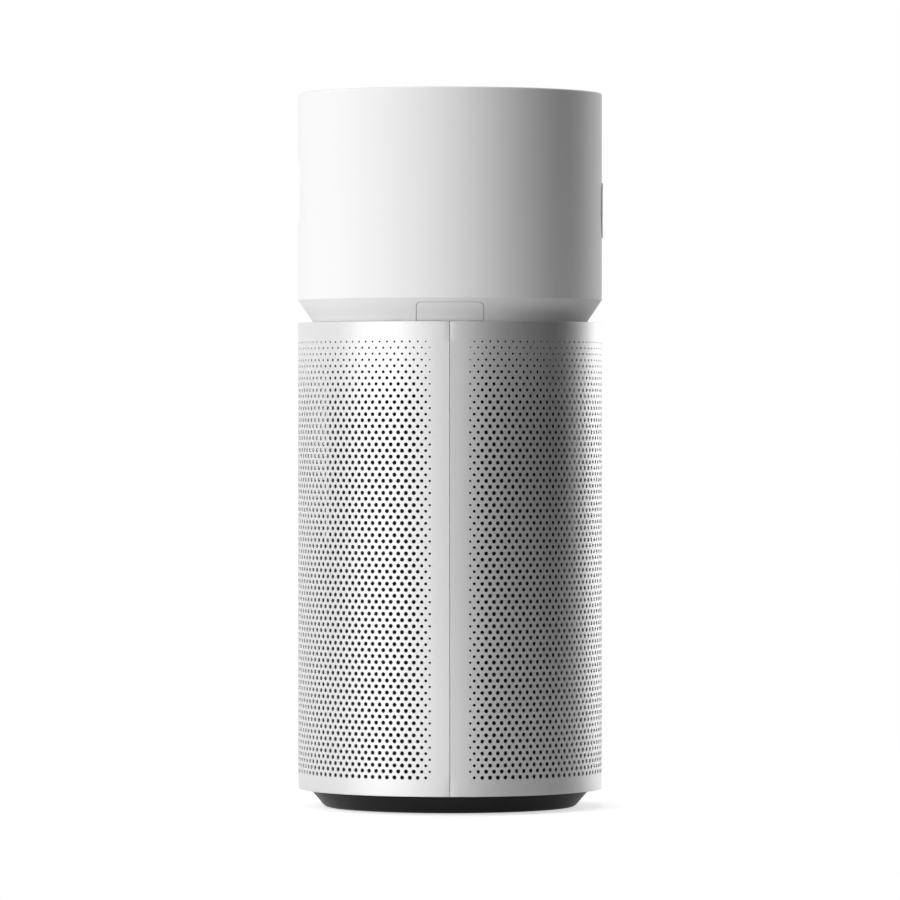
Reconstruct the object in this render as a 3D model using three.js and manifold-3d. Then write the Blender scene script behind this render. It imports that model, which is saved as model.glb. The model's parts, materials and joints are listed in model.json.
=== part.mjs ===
// A cylindrical tower air purifier: a perforated lower body round a filter cartridge, and a plain
// upper drum that holds the fan. Millimetres, +Z up, origin on the floor under the centre.
// The round display faces -Y, the particle sensor +Y, and the two panel seams lie at +X and -X.
import * as THREE from "three";
import { mergeVertices } from "three/addons/utils/BufferGeometryUtils.js";
import Module from "manifold-3d";

const wasm = await Module();
wasm.setup();

// ---------------------------------------------------------------- driving dimensions
const BODY_R = 150; // outside of the drum and of the perforated panels
const HEIGHT = 704;
const GAP = 0.4; // between neighbouring pieces
const CLEAR = 0.3; // between faces that fit closely
const ROUND = 48; // sides of the large rings
const FINE = 36; // sides of the inner rings
const SMALL = 16; // sides of pads, screws and bosses
const TINY = 12; // sides of screws' shanks, pins and posts
const FAR = 800; // reaches past everything, for cutting blocks

const PANEL_Z0 = 18.4;
const PANEL_Z1 = 477.8;
const PANEL_WALL = 1.2; // steel sheet

const BASE_Z0 = 1; // underside of the base, above the floor
const BASE_FOOT_R = 125;
const BASE_TOP_R = 137.2;
const BASE_FLOOR = 4.5; // thickness of the base's floor

const FLOOR_Z1 = 21.4; // top of the filter compartment's floor
const DECK_Z0 = 469;
const DECK_Z1 = 477.2;
const DECK_BORE_R = 100;

const NECK_R = 137;
const CONE_Z0 = 481;
const SHELL_Z0 = 500.8;
const CONE_WALL = 3;
const SHELL_WALL = 3;

const BUTTON_HALF_W = 32.5;
const BUTTON_TOP_Z = 496;
const BUTTON_TRAVEL = 3;

const CASING_R = 124;
const CASING_WALL = 2.5;
const CASING_Z1 = 684;

const IMPELLER_R = 104;
const SHAFT_R = 4;
const HUB_BODY_R = 60; // the diffuser's central cup

const FILTER_R = 126;
const FILTER_CORE_R = 80;
const FILTER_Z0 = FLOOR_Z1 + CLEAR;
const FILTER_Z1 = DECK_Z0 - 2 * CLEAR;

const DISPLAY_Z = 605;
const DISPLAY_R = 34.8;
const DISPLAY_FACE_Y = -147.6; // flat face, 2.4 behind the drum's own front line

const SENSOR_Z = 588.8;
const SENSOR_H = 54.4;
const SENSOR_W = 40;
const SENSOR_PROUD = 1.2;

// ---------------------------------------------------------------- materials
const finish = (colour, roughness, metalness = 0) =>
  new THREE.MeshStandardMaterial({ color: colour, roughness, metalness });
const WHITE = finish(0xeeeeee, 0.45);
const INNER = finish(0xd4d6d8, 0.6);
const BLACK = finish(0x1b1b1c, 0.35);
const GLASS = finish(0x0a0b0d, 0.08);
const RUBBER = finish(0x2a2a2a, 0.9);
const STEEL = finish(0xb8babd, 0.3, 1);
const BOARD = finish(0x1f5a3a, 0.5);
const PAPER = finish(0xf0efe8, 0.9);
const MESH = finish(0x17181a, 0.8);

// ---------------------------------------------------------------- shape helpers
const solid = (geometry) => {
  const bare = geometry.clone();
  bare.deleteAttribute("normal");
  bare.deleteAttribute("uv");
  const merged = mergeVertices(bare, 1e-3);
  return new wasm.Manifold(
    new wasm.Mesh({
      numProp: 3,
      vertProperties: merged.attributes.position.array,
      triVerts: new Uint32Array(merged.index.array),
    }),
  );
};

const geometryOf = (body) => {
  const mesh = body.getMesh();
  const geometry = new THREE.BufferGeometry();
  geometry.setAttribute("position", new THREE.BufferAttribute(mesh.vertProperties, 3));
  geometry.setIndex(new THREE.BufferAttribute(mesh.triVerts, 1));
  return geometry;
};

const union = (bodies) => bodies.reduce((sum, body) => sum.add(body));

const radians = (degrees) => (degrees * Math.PI) / 180;

// The same geometry on the other side of the plane x = 0.
const mirrored = (geometry) => geometryOf(solid(geometry).mirror([1, 0, 0]));

// Copies of a geometry, evenly turned about Z, as solids.
const aroundZ = (geometry, count) =>
  Array.from({ length: count }, (_, i) => solid(geometry.clone().rotateZ((2 * Math.PI * i) / count)));

// A closed profile of [radius, height] pairs, turned about Z. Profiles run anticlockwise.
const turned = (profile, sides = FINE) => {
  const points = profile.map(([r, z]) => new THREE.Vector2(r, z));
  if (profile[0][0] > 0 || profile.at(-1)[0] > 0) points.push(points[0].clone());
  return new THREE.LatheGeometry(points, sides).rotateX(Math.PI / 2);
};

const ring = (inner, outer, z0, z1, sides = FINE) =>
  turned([[inner, z0], [outer, z0], [outer, z1], [inner, z1]], sides);

const disc = (radius, z0, z1, sides = FINE) =>
  turned([[0, z0], [radius, z0], [radius, z1], [0, z1]], sides);

const box = ([x0, y0, z0], [x1, y1, z1]) =>
  new THREE.BoxGeometry(x1 - x0, y1 - y0, z1 - z0).translate(
    (x0 + x1) / 2,
    (y0 + y1) / 2,
    (z0 + z1) / 2,
  );

// A rectangle with rounded corners, centred on the origin of its own plane.
const roundedRectangle = (width, height, radius) => {
  const shape = new THREE.Shape();
  const [w, h] = [width / 2, height / 2];
  shape.absarc(w - radius, h - radius, radius, 0, Math.PI / 2);
  shape.absarc(radius - w, h - radius, radius, Math.PI / 2, Math.PI);
  shape.absarc(radius - w, radius - h, radius, Math.PI, 1.5 * Math.PI);
  shape.absarc(w - radius, radius - h, radius, 1.5 * Math.PI, 2 * Math.PI);
  return shape;
};

const extruded = (shape, depth, curveSegments = 4) =>
  new THREE.ExtrudeGeometry(shape, { depth, bevelEnabled: false, curveSegments });

const swept = (curve, radius, steps, sides) => {
  const section = new THREE.Shape(
    Array.from({ length: sides }, (_, i) => {
      const a = (2 * Math.PI * i) / sides;
      return new THREE.Vector2(radius * Math.cos(a), radius * Math.sin(a));
    }),
  );
  return new THREE.ExtrudeGeometry(section, { steps, bevelEnabled: false, extrudePath: curve });
};

const group = new THREE.Group();
const add = (name, shape, material) => {
  const mesh = new THREE.Mesh(shape.isBufferGeometry ? shape : geometryOf(shape), material);
  mesh.name = name;
  group.add(mesh);
};

// ---------------------------------------------------------------- base and power entry
const FOOT_RING_R = 98;
const PAD_R = 12.6;
const PAD_TOP = 3;
const SCREW_RING_R = 70;
const SCREW = { headR: 4, shankR: 1.8, head: [1.2, 2.7], top: 14 };
const COUNTERBORE = { radius: 4.5, top: 3 };
const BOSS_R = 6;
const PAN_RIM = 3.7; // width of the base's upper edge
const PAN_HEEL = 4; // thickness of its wall at the foot
const PAN_FLOOR_Z = BASE_Z0 + BASE_FLOOR;
const PAN_TOP_Z = PANEL_Z0 - GAP;
const onCircle = (radius, angle) => [radius * Math.cos(angle), radius * Math.sin(angle), 0];
const diagonals = [45, 135, 225, 315].map(radians);
const padPlaces = diagonals.map((angle) => onCircle(FOOT_RING_R, angle));
const screwPlaces = diagonals.map((angle) => onCircle(SCREW_RING_R, angle));

// The appliance inlet sits inside the base's sloping wall, and nothing of it stands out.
const INLET_HALF_W = 11;
const INLET_Y = [106.9, 127];
const INLET_Z = [PAN_FLOOR_Z + GAP, PAN_TOP_Z - 0.1];
const INLET_MID_Z = (INLET_Z[0] + INLET_Z[1]) / 2;

const panProfile = [
  [0, BASE_Z0],
  [BASE_FOOT_R - 2.2, BASE_Z0],
  [BASE_FOOT_R, BASE_Z0 + 1.6],
  [BASE_TOP_R, PAN_TOP_Z - 1.4],
  [BASE_TOP_R, PAN_TOP_Z],
  [BASE_TOP_R - PAN_RIM, PAN_TOP_Z],
  [BASE_FOOT_R - PAN_HEEL, PAN_FLOOR_Z],
  [0, PAN_FLOOR_Z],
];
const padPocket = disc(PAD_R + GAP, 0, PAD_TOP + GAP, SMALL);
const counterbore = disc(COUNTERBORE.radius, 0, COUNTERBORE.top, SMALL);
const screwHole = disc(SCREW.shankR + GAP, 0, PANEL_Z0, SMALL);
const inletOpening = box(
  [-INLET_HALF_W - GAP, INLET_Y[0] - GAP, PAN_FLOOR_Z + 0.1],
  [INLET_HALF_W + GAP, BODY_R, PANEL_Z0],
);
const panCuts = [
  inletOpening,
  ...padPlaces.map((place) => padPocket.clone().translate(...place)),
  ...screwPlaces.map((place) => counterbore.clone().translate(...place)),
  ...screwPlaces.map((place) => screwHole.clone().translate(...place)),
];
const pan = panCuts.reduce((body, cut) => body.subtract(solid(cut)), solid(turned(panProfile, ROUND)));
add("base_pan", pan, BLACK);

padPlaces.forEach((place, i) => {
  add(`foot_pad_${i + 1}`, disc(PAD_R, 0, PAD_TOP, SMALL).translate(...place), RUBBER);
});
const screwProfile = [
  [0, SCREW.head[0]],
  [SCREW.headR, SCREW.head[0]],
  [SCREW.headR, SCREW.head[1]],
  [SCREW.shankR, SCREW.head[1]],
  [SCREW.shankR, SCREW.top],
  [0, SCREW.top],
];
screwPlaces.forEach((place, i) => {
  add(`base_screw_${i + 1}`, turned(screwProfile, TINY).translate(...place), STEEL);
});

// A figure-of-eight socket with two pins, open to the rear.
const SOCKET = { width: 15.4, height: 8.4, corner: 4.1, depth: 10 };
const PIN = { radius: 1.15, pitch: 8.6, set: 1 };
const intoFace = (geometry, y) => geometry.rotateX(Math.PI / 2).translate(0, y, INLET_MID_Z);
const socketCut = intoFace(
  extruded(roundedRectangle(SOCKET.width, SOCKET.height, SOCKET.corner), SOCKET.depth + 1),
  INLET_Y[1] + 1,
);
const pins = [-1, 1].map((side) =>
  solid(
    intoFace(disc(PIN.radius, 0, SOCKET.depth, TINY), INLET_Y[1] - PIN.set)
      .translate((side * PIN.pitch) / 2, 0, 0),
  ),
);
const inletBlock = box([-INLET_HALF_W, INLET_Y[0], INLET_Z[0]], [INLET_HALF_W, INLET_Y[1], INLET_Z[1]]);
add("power_inlet", union([solid(inletBlock).subtract(solid(socketCut)), ...pins]), BLACK);

const BOARD_T = 1.6; // thickness of every circuit board
const POWER_BOARD = { low: [-34, 62, 8.2], high: [34, 105, 8.2 + BOARD_T] };
const PARTS_Z0 = POWER_BOARD.high[2] + CLEAR; // underside of what stands on the board
const CAPACITOR = { radius: 4.5, top: 17.2, y: 84, x: [26, -29] };
add("power_board", box(POWER_BOARD.low, POWER_BOARD.high), BOARD);
add("power_transformer", box([-22, 68, PARTS_Z0], [4, 94, 17.4]), BLACK);
CAPACITOR.x.forEach((x, i) => {
  const can = disc(CAPACITOR.radius, PARTS_Z0, CAPACITOR.top, TINY).translate(x, CAPACITOR.y, 0);
  add(`board_capacitor_${i + 1}`, can, STEEL);
});

// ---------------------------------------------------------------- lower frame
const INSIDE_R = BODY_R - PANEL_WALL - 1.6; // frame plates stop short of the panels
const STOP = { z1: 30, width: 3, y1: -40 }; // the raised arc that the cartridge comes to rest against
const LOOM_R = 2.5;
const LOOM_Y = -9.5; // the lead's place in the right column
const LOOM_PASS = [119.7, -52.3]; // where it rises through the deck and the neck's flange
const LOOM_NOTCH_X = [122, 133.6];
const stopRing = solid(ring(FILTER_R + 1, FILTER_R + 1 + STOP.width, FLOOR_Z1 - 1, STOP.z1));
const stopArc = stopRing.intersect(solid(box([-BODY_R, -BODY_R, 0], [BODY_R, STOP.y1, HEIGHT])));
const bosses = screwPlaces.map((place) =>
  solid(disc(BOSS_R, PAN_FLOOR_Z + GAP, PANEL_Z0 + 1, SMALL).translate(...place)),
);
const bossHole = disc(SCREW.shankR + 0.5, 0, SCREW.top + 1, SMALL);
const floorCuts = [
  box([LOOM_NOTCH_X[0], LOOM_Y - 4, 0], [LOOM_NOTCH_X[1], LOOM_Y + 4, FLOOR_Z1 + 1]),
  ...screwPlaces.map((place) => bossHole.clone().translate(...place)),
];
const floorPlate = solid(disc(INSIDE_R, PANEL_Z0, FLOOR_Z1, ROUND));
const floorWhole = union([floorPlate, stopArc, ...bosses]);
add("chassis_floor", floorCuts.reduce((body, cut) => body.subtract(solid(cut)), floorWhole), INNER);

// Each column is a channel that opens towards the filter, behind the plain strip beside a seam.
const COLUMN_X = [134, 146];
const COLUMN_Y = [-17, -2];
const CHANNEL_WALL = 3;
const columnBlock = box(
  [COLUMN_X[0], COLUMN_Y[0], FLOOR_Z1 + GAP],
  [COLUMN_X[1], COLUMN_Y[1], DECK_Z0 - GAP],
);
const columnHollow = box(
  [COLUMN_X[0] - 1, COLUMN_Y[0] + CHANNEL_WALL, 0],
  [COLUMN_X[1] - CHANNEL_WALL, COLUMN_Y[1] - CHANNEL_WALL, HEIGHT],
);
const column = geometryOf(solid(columnBlock).subtract(solid(columnHollow)));
add("side_column_right", column, INNER);
add("side_column_left", mirrored(column), INNER);

// ---------------------------------------------------------------- perforated panels
const SEAM_HALF = 0.2;
const LUG = { x: [141.8, 149], y: [3, 13.2], z: [456, 467] }; // the release hooks catch these
const tube = solid(ring(BODY_R - PANEL_WALL, BODY_R, PANEL_Z0, PANEL_Z1, ROUND));
const frontHalf = solid(box([-FAR, -FAR, 0], [FAR, -SEAM_HALF, HEIGHT]));
const rearHalf = solid(box([-FAR, SEAM_HALF, 0], [FAR, FAR, HEIGHT]));
const lug = box([LUG.x[0], LUG.y[0], LUG.z[0]], [LUG.x[1], LUG.y[1], LUG.z[1]]);
add("front_panel", tube.intersect(frontHalf), WHITE);
add("rear_panel", union([tube.intersect(rearHalf), solid(lug), solid(mirrored(lug))]), WHITE);

// Slim tapered ribs stiffen the panels inside, either side of each seam.
const RIB = { angle: 54, z: [262, 431], thickness: 3, deep: 8, shallow: 3, slant: 12 };
const RIB_OUTER_R = BODY_R - PANEL_WALL - 2 * CLEAR;
const ribShape = new THREE.Shape([
  new THREE.Vector2(RIB_OUTER_R, RIB.z[0]),
  new THREE.Vector2(RIB_OUTER_R, RIB.z[1]),
  new THREE.Vector2(BODY_R - PANEL_WALL - RIB.deep, RIB.z[1] - RIB.slant),
  new THREE.Vector2(BODY_R - PANEL_WALL - RIB.shallow, RIB.z[0]),
]);
const ribPlaces = [
  ["rear_panel_rib_right", RIB.angle],
  ["rear_panel_rib_left", 180 - RIB.angle],
  ["front_panel_rib_right", -RIB.angle],
  ["front_panel_rib_left", RIB.angle - 180],
];
ribPlaces.forEach(([name, angle]) => {
  const rib = extruded(ribShape, RIB.thickness).translate(0, 0, -RIB.thickness / 2);
  add(name, rib.rotateX(Math.PI / 2).rotateZ(radians(angle)), WHITE);
});

// ---------------------------------------------------------------- deck and neck
const LEG = { x: [130.5, 135.5], y: [1, 19], z: [458, 483] };
const HOOK = { x1: 144, y0: 13.7, z1: 466 };
const legSlot = box(
  [LEG.x[0] - BUTTON_TRAVEL - 1, LEG.y[0] - 0.6, 0],
  [LEG.x[1] + 0.6, LEG.y[1] + 0.6, HEIGHT],
);
const deckPass = disc(LOOM_R + 5, 0, HEIGHT, SMALL).translate(LOOM_PASS[0] + 0.5, LOOM_PASS[1] + 2, 0);
const deckRing = solid(ring(DECK_BORE_R, INSIDE_R, DECK_Z0, DECK_Z1, ROUND));
const deckCuts = [legSlot, mirrored(legSlot), deckPass];
const deck = deckCuts.reduce((body, cut) => body.subtract(solid(cut)), deckRing);
add("upper_deck", deck, INNER);

const GUARD = { z: [470, 472.4], barHalf: 1.2, ringWidth: 2, radii: [40, 70] };
const guardOuter = DECK_BORE_R - GAP;
const guardReach = guardOuter - 1.2; // the bars end inside the outer ring
const guardBar = box([-guardReach, -GUARD.barHalf, GUARD.z[0]], [guardReach, GUARD.barHalf, GUARD.z[1]]);
const guardBars = [0, 60, 120].map((angle) => solid(guardBar.clone().rotateZ(radians(angle))));
const guardRings = [...GUARD.radii, guardOuter - GUARD.ringWidth].map((radius) =>
  solid(ring(radius, radius + GUARD.ringWidth, ...GUARD.z, radius > GUARD.radii[1] ? ROUND : FINE)),
);
add("intake_guard", union([...guardBars, ...guardRings]), INNER);

// The neck's ring rises straight from the deck and then slopes out to the drum.
const NECK_Z0 = DECK_Z1 + GAP;
const NECK_Z1 = SHELL_Z0 - GAP;
const NECK_RIM_R = BODY_R - 0.3;
const coneShell = (z0) =>
  solid(
    turned(
      [
        [NECK_R - CONE_WALL, z0],
        [NECK_R, z0],
        [NECK_R, CONE_Z0],
        [NECK_RIM_R, NECK_Z1],
        [NECK_RIM_R - CONE_WALL - 0.3, NECK_Z1],
        [NECK_R - CONE_WALL, CONE_Z0 + 0.8],
      ],
      ROUND,
    ),
  );
const TAB = { height: 60, corner: 4.4 };
const tabBlock = (margin) =>
  solid(
    extruded(roundedRectangle(2 * (BUTTON_HALF_W + margin), TAB.height, TAB.corner + margin), BODY_R)
      .rotateX(Math.PI / 2)
      .rotateZ(Math.PI / 2)
      .translate(NECK_R / 2, 0, BUTTON_TOP_Z + margin - TAB.height / 2),
  );
const buttonWindow = tabBlock(GAP);
const flangePass = disc(LOOM_R + 0.7, 0, HEIGHT, SMALL).translate(...LOOM_PASS, 0);
const neckFlange = solid(ring(CASING_R + 1, NECK_R - 1, NECK_Z0, DECK_Z1 + 3, ROUND));
const neck = coneShell(NECK_Z0)
  .add(neckFlange.subtract(solid(flangePass)))
  .subtract(buttonWindow)
  .subtract(buttonWindow.mirror([1, 0, 0]));
add("neck_cone", neck, WHITE);

// A release button is a patch of the cone with a leg through the deck and a hook below it.
const SPRING_Z = 489;
const POST = { radius: 2.2, length: 8, x0: 131.5 };
const leg = box([LEG.x[0], LEG.y[0], LEG.z[0]], [LEG.x[1], LEG.y[1], LEG.z[1]]);
const hook = box([LEG.x[0], HOOK.y0, LEG.z[0]], [HOOK.x1, LEG.y[1], HOOK.z1]);
const springPost = disc(POST.radius, 0, POST.length, TINY)
  .rotateY(Math.PI / 2)
  .translate(POST.x0, 0, SPRING_Z);
const buttonPatch = coneShell(DECK_Z1 + 2 * GAP).intersect(tabBlock(0));
const button = geometryOf(union([buttonPatch, ...[leg, hook, springPost].map(solid)]));
add("release_button_right", button, WHITE);
add("release_button_left", mirrored(button), WHITE);

// A compression spring pushes each button out from the fan casing.
const SPRING = { x: [CASING_R + 0.9, 135], radius: 3.6, wire: 0.5, turns: 4, steps: 36, sides: 5 };
class CoilCurve extends THREE.Curve {
  getPoint(t, target = new THREE.Vector3()) {
    const a = 2 * Math.PI * SPRING.turns * t;
    return target.set(
      SPRING.x[0] + (SPRING.x[1] - SPRING.x[0]) * t,
      SPRING.radius * Math.cos(a),
      SPRING_Z + SPRING.radius * Math.sin(a),
    );
  }
}
const coil = swept(new CoilCurve(), SPRING.wire, SPRING.steps, SPRING.sides);
add("button_spring_right", coil, STEEL);
add("button_spring_left", mirrored(coil), STEEL);

// ---------------------------------------------------------------- upper drum
const towardsFront = (geometry) => geometry.rotateX(Math.PI / 2); // the profile's +Z becomes -Y
const SHELL_CHAMFER = 1.2;
const SENSOR_CORNER = 14;
const drum = solid(
  turned(
    [
      [BODY_R - SHELL_WALL, SHELL_Z0],
      [BODY_R, SHELL_Z0],
      [BODY_R, HEIGHT - SHELL_CHAMFER],
      [BODY_R - SHELL_CHAMFER, HEIGHT],
      [BODY_R - SHELL_WALL, HEIGHT],
    ],
    ROUND,
  ),
);
const sensorBlock = (margin) => {
  const face = roundedRectangle(SENSOR_W + 2 * margin, SENSOR_H + 2 * margin, SENSOR_CORNER + margin);
  return solid(extruded(face, BODY_R / 4, 6).rotateX(Math.PI / 2).translate(0, BODY_R + 20, SENSOR_Z));
};
const displayPlug = towardsFront(disc(DISPLAY_R, BODY_R * 0.8, BODY_R + 20, FINE));
const displayHole = solid(displayPlug.translate(0, 0, DISPLAY_Z));
add("upper_shell", drum.subtract(displayHole).subtract(sensorBlock(CLEAR)), WHITE);

// The rim slopes in from the drum's top edge to the grille, and hangs on the fan casing.
const RIM_R = BODY_R - SHELL_WALL - GAP;
const RIM = { top: HEIGHT - 0.8, skirt: HEIGHT - 14, lip: HEIGHT - 9, edge: HEIGHT - 10.5, width: 3 };
const GRILLE_R = 123.6;
const rimProfile = [
  [RIM_R - RIM.width, RIM.skirt],
  [RIM_R, RIM.skirt],
  [RIM_R, RIM.top],
  [RIM_R - 2, RIM.top],
  [GRILLE_R + 2.6, RIM.lip],
  [GRILLE_R + GAP, RIM.edge],
  [GRILLE_R + GAP, CASING_Z1 + GAP],
  [GRILLE_R + RIM.width, CASING_Z1 + GAP],
  [GRILLE_R + 2 * RIM.width, HEIGHT - 13],
  [RIM_R - RIM.width, HEIGHT - 5.4],
];
add("top_rim", turned(rimProfile, ROUND), WHITE);

// The outlet grille: swept vanes between a hub ring and an outer ring.
const GRILLE_Z = [685, 693];
const GRILLE_HUB_R = 38;
const GRILLE_RING_W = 2;
const VANE = { count: 24, halfWidth: 0.8, sweep: 0.55, radii: [37, 66, 95, 122.6], inset: 0.5 };
const vanePoint = (radius, offset) => {
  const angle = (VANE.sweep * (radius - GRILLE_HUB_R)) / (GRILLE_R - GRILLE_HUB_R);
  const [c, s] = [Math.cos(angle), Math.sin(angle)];
  return new THREE.Vector2(radius * c - offset * s, radius * s + offset * c);
};
const vaneOutline = [
  ...VANE.radii.map((radius) => vanePoint(radius, -VANE.halfWidth)),
  ...VANE.radii.toReversed().map((radius) => vanePoint(radius, VANE.halfWidth)),
];
const vaneHeight = GRILLE_Z[1] - GRILLE_Z[0] - 2 * VANE.inset;
const vane = extruded(new THREE.Shape(vaneOutline), vaneHeight).translate(0, 0, GRILLE_Z[0] + VANE.inset);
const grilleRings = [
  ring(GRILLE_HUB_R - GRILLE_RING_W, GRILLE_HUB_R, ...GRILLE_Z, FINE),
  ring(GRILLE_R - GRILLE_RING_W, GRILLE_R, ...GRILLE_Z, ROUND),
].map(solid);
add("outlet_grille", union([...grilleRings, ...aroundZ(vane, VANE.count)]), WHITE);

const OUTLET_CAP_R = GRILLE_HUB_R - GRILLE_RING_W - GAP;
const outletCapProfile = [
  [0, GRILLE_Z[0] + 1],
  [OUTLET_CAP_R, GRILLE_Z[0] + 1],
  [OUTLET_CAP_R, GRILLE_Z[1]],
  [30, GRILLE_Z[1] + 2.4],
  [0, GRILLE_Z[1] + 3],
];
add("outlet_cap", turned(outletCapProfile), WHITE);

// ---------------------------------------------------------------- fan
const casingProfile = [
  [95, NECK_Z0],
  [CASING_R, NECK_Z0],
  [CASING_R, CASING_Z1],
  [CASING_R - CASING_WALL, CASING_Z1],
  [CASING_R - CASING_WALL, 500],
  [112, 487],
  [100, 482.5],
  [95, 484],
];
add("fan_casing", turned(casingProfile, ROUND), INNER);

// The impeller: swept blades between a shroud with an open eye and a coned back plate.
const BLADE = { count: 9, z: [500, 549], r: [62, IMPELLER_R - 3], half: 1.1, sweep: 0.75, lean: 0.6 };
const bladeEdge = (side) =>
  [0, 1, 2, 3].map((i) => {
    const share = i / 3;
    const radius = BLADE.r[0] + (BLADE.r[1] - BLADE.r[0]) * share;
    const angle = -BLADE.sweep * share ** 1.15;
    return new THREE.Vector2(
      radius * Math.cos(angle) - side * Math.sin(angle - BLADE.lean),
      radius * Math.sin(angle) + side * Math.cos(angle - BLADE.lean),
    );
  });
const bladeShape = new THREE.Shape([...bladeEdge(-BLADE.half), ...bladeEdge(BLADE.half).toReversed()]);
const blade = extruded(bladeShape, BLADE.z[1] - BLADE.z[0]).translate(0, 0, BLADE.z[0]);
const BACK_Z = 550.5;
const backPlate = turned([
  [SHAFT_R + 0.5, 528],
  [14, 528],
  [22, 544],
  [60, BACK_Z - 2.5],
  [IMPELLER_R, BACK_Z - 2.5],
  [IMPELLER_R, BACK_Z],
  [SHAFT_R + 0.5, BACK_Z],
]);
const shroud = turned([[88, 496], [90, 496], [94, 500], [IMPELLER_R, 503], [IMPELLER_R, 505], [92, 502.4]]);
add("impeller", union([solid(backPlate), solid(shroud), ...aroundZ(blade, BLADE.count)]), INNER);
add("motor_shaft", disc(SHAFT_R, 520, 606, SMALL), STEEL);
add("impeller_nut", ring(SHAFT_R + 1.2, 8, 521, 527.6, 6), STEEL);

const MOTOR = { r: 40, bore: 12, z: [553, 599.6], shoulder: 4 };
const motorProfile = [
  [MOTOR.bore, MOTOR.z[0]],
  [MOTOR.r - MOTOR.shoulder, MOTOR.z[0]],
  [MOTOR.r, MOTOR.z[0] + MOTOR.shoulder],
  [MOTOR.r, MOTOR.z[1]],
  [MOTOR.bore, MOTOR.z[1]],
];
const BEARING_H = 7;
const bearing = (z0) => ring(SHAFT_R + CLEAR, MOTOR.bore - GAP, z0, z0 + BEARING_H, SMALL);
add("motor_can", turned(motorProfile), STEEL);
add("motor_bearing_lower", bearing(MOTOR.z[0] + 1), STEEL);
add("motor_bearing_upper", bearing(MOTOR.z[1] - 8.6), STEEL);

// The diffuser: a cup over the motor, with tilted guide vanes that reach towards the casing.
const CUP_Z = [600, 680];
const CUP_WALL = 2.5;
const STATOR = { count: 9, tilt: radians(24), half: 1.2, halfHeight: 27, z: 640, clear: 1.5 };
const cup = turned([
  [SHAFT_R * 2, CUP_Z[0]],
  [HUB_BODY_R - 6, CUP_Z[0]],
  [HUB_BODY_R, CUP_Z[0] + 6],
  [HUB_BODY_R, CUP_Z[1]],
  [HUB_BODY_R - CUP_WALL, CUP_Z[1]],
  [HUB_BODY_R - CUP_WALL, CUP_Z[0] + 8],
  [HUB_BODY_R - 7, CUP_Z[0] + 3],
  [SHAFT_R * 2, CUP_Z[0] + 3],
]);
const statorEnd = CASING_R - CASING_WALL - STATOR.clear;
const stator = box(
  [HUB_BODY_R - 1, -STATOR.half, -STATOR.halfHeight],
  [statorEnd, STATOR.half, STATOR.halfHeight],
)
  .rotateX(STATOR.tilt)
  .translate(0, 0, STATOR.z);
const hubCoverProfile = [
  [0, CUP_Z[1] + CLEAR],
  [HUB_BODY_R, CUP_Z[1] + CLEAR],
  [HUB_BODY_R - 3, CUP_Z[1] + 2.6],
  [0, CASING_Z1],
];
add("diffuser", union([solid(cup), ...aroundZ(stator, STATOR.count)]), INNER);
add("hub_cover", turned(hubCoverProfile), INNER);

const MAIN_BOARD = { low: [133.4, -30, 521], high: [133.4 + BOARD_T, 30, 601] };
add("motor_driver_board", disc(48, STATOR.z, STATOR.z + BOARD_T, SMALL), BOARD);
add("main_board", box(MAIN_BOARD.low, MAIN_BOARD.high), BOARD);

// ---------------------------------------------------------------- display
// A flat bezel with a well in its face; a slightly domed glass fills the well, over the board.
const FACE = -DISPLAY_FACE_Y;
const GLASS_R = 29.4;
const BEZEL = { back: FACE - 11.6, well: FACE - 9.6 };
const displayPart = (name, profile, material) =>
  add(name, towardsFront(turned(profile)).translate(0, 0, DISPLAY_Z), material);
displayPart(
  "display_bezel",
  [
    [0, BEZEL.back],
    [DISPLAY_R - CLEAR, BEZEL.back],
    [DISPLAY_R - CLEAR, FACE - 0.6],
    [DISPLAY_R - CLEAR - 0.6, FACE],
    [GLASS_R + GAP, FACE],
    [GLASS_R + GAP, BEZEL.well],
    [0, BEZEL.well],
  ],
  WHITE,
);
displayPart(
  "display_glass",
  [[0, FACE - 2.2], [GLASS_R, FACE - 2.2], [GLASS_R, FACE - 0.5], [20, FACE - 0.1], [0, FACE + 0.3]],
  GLASS,
);
const DISPLAY_BOARD_HALF = 19;
const displayBoardY = FACE - 4.4;
add(
  "display_board",
  box(
    [-DISPLAY_BOARD_HALF, -displayBoardY, DISPLAY_Z - DISPLAY_BOARD_HALF],
    [DISPLAY_BOARD_HALF, -displayBoardY + BOARD_T, DISPLAY_Z + DISPLAY_BOARD_HALF],
  ),
  BOARD,
);

// ---------------------------------------------------------------- particle sensor
// The cover is a patch of a slightly larger drum, cut through by level slots.
const SLOT = { count: 13, pitch: 3.1, half: 0.75, halfWidth: 16.5 };
const SENSOR_BODY = { half: 18, y: [128, 141], halfHeight: 22 };
const coverSkin = ring(BODY_R - 2.4, BODY_R + SENSOR_PROUD, SENSOR_Z - 40, SENSOR_Z + 40, 2 * ROUND);
const slotHeights = Array.from(
  { length: SLOT.count },
  (_, i) => SENSOR_Z + (i - (SLOT.count - 1) / 2) * SLOT.pitch,
);
const cover = slotHeights.reduce((body, z) => {
  const slot = box([-SLOT.halfWidth, 0, z - SLOT.half], [SLOT.halfWidth, FAR, z + SLOT.half]);
  return body.subtract(solid(slot));
}, solid(coverSkin).intersect(sensorBlock(0)));
add("sensor_cover", cover, WHITE);
add(
  "particle_sensor",
  box(
    [-SENSOR_BODY.half, SENSOR_BODY.y[0], SENSOR_Z - SENSOR_BODY.halfHeight],
    [SENSOR_BODY.half, SENSOR_BODY.y[1], SENSOR_Z + SENSOR_BODY.halfHeight],
  ),
  BLACK,
);

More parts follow.
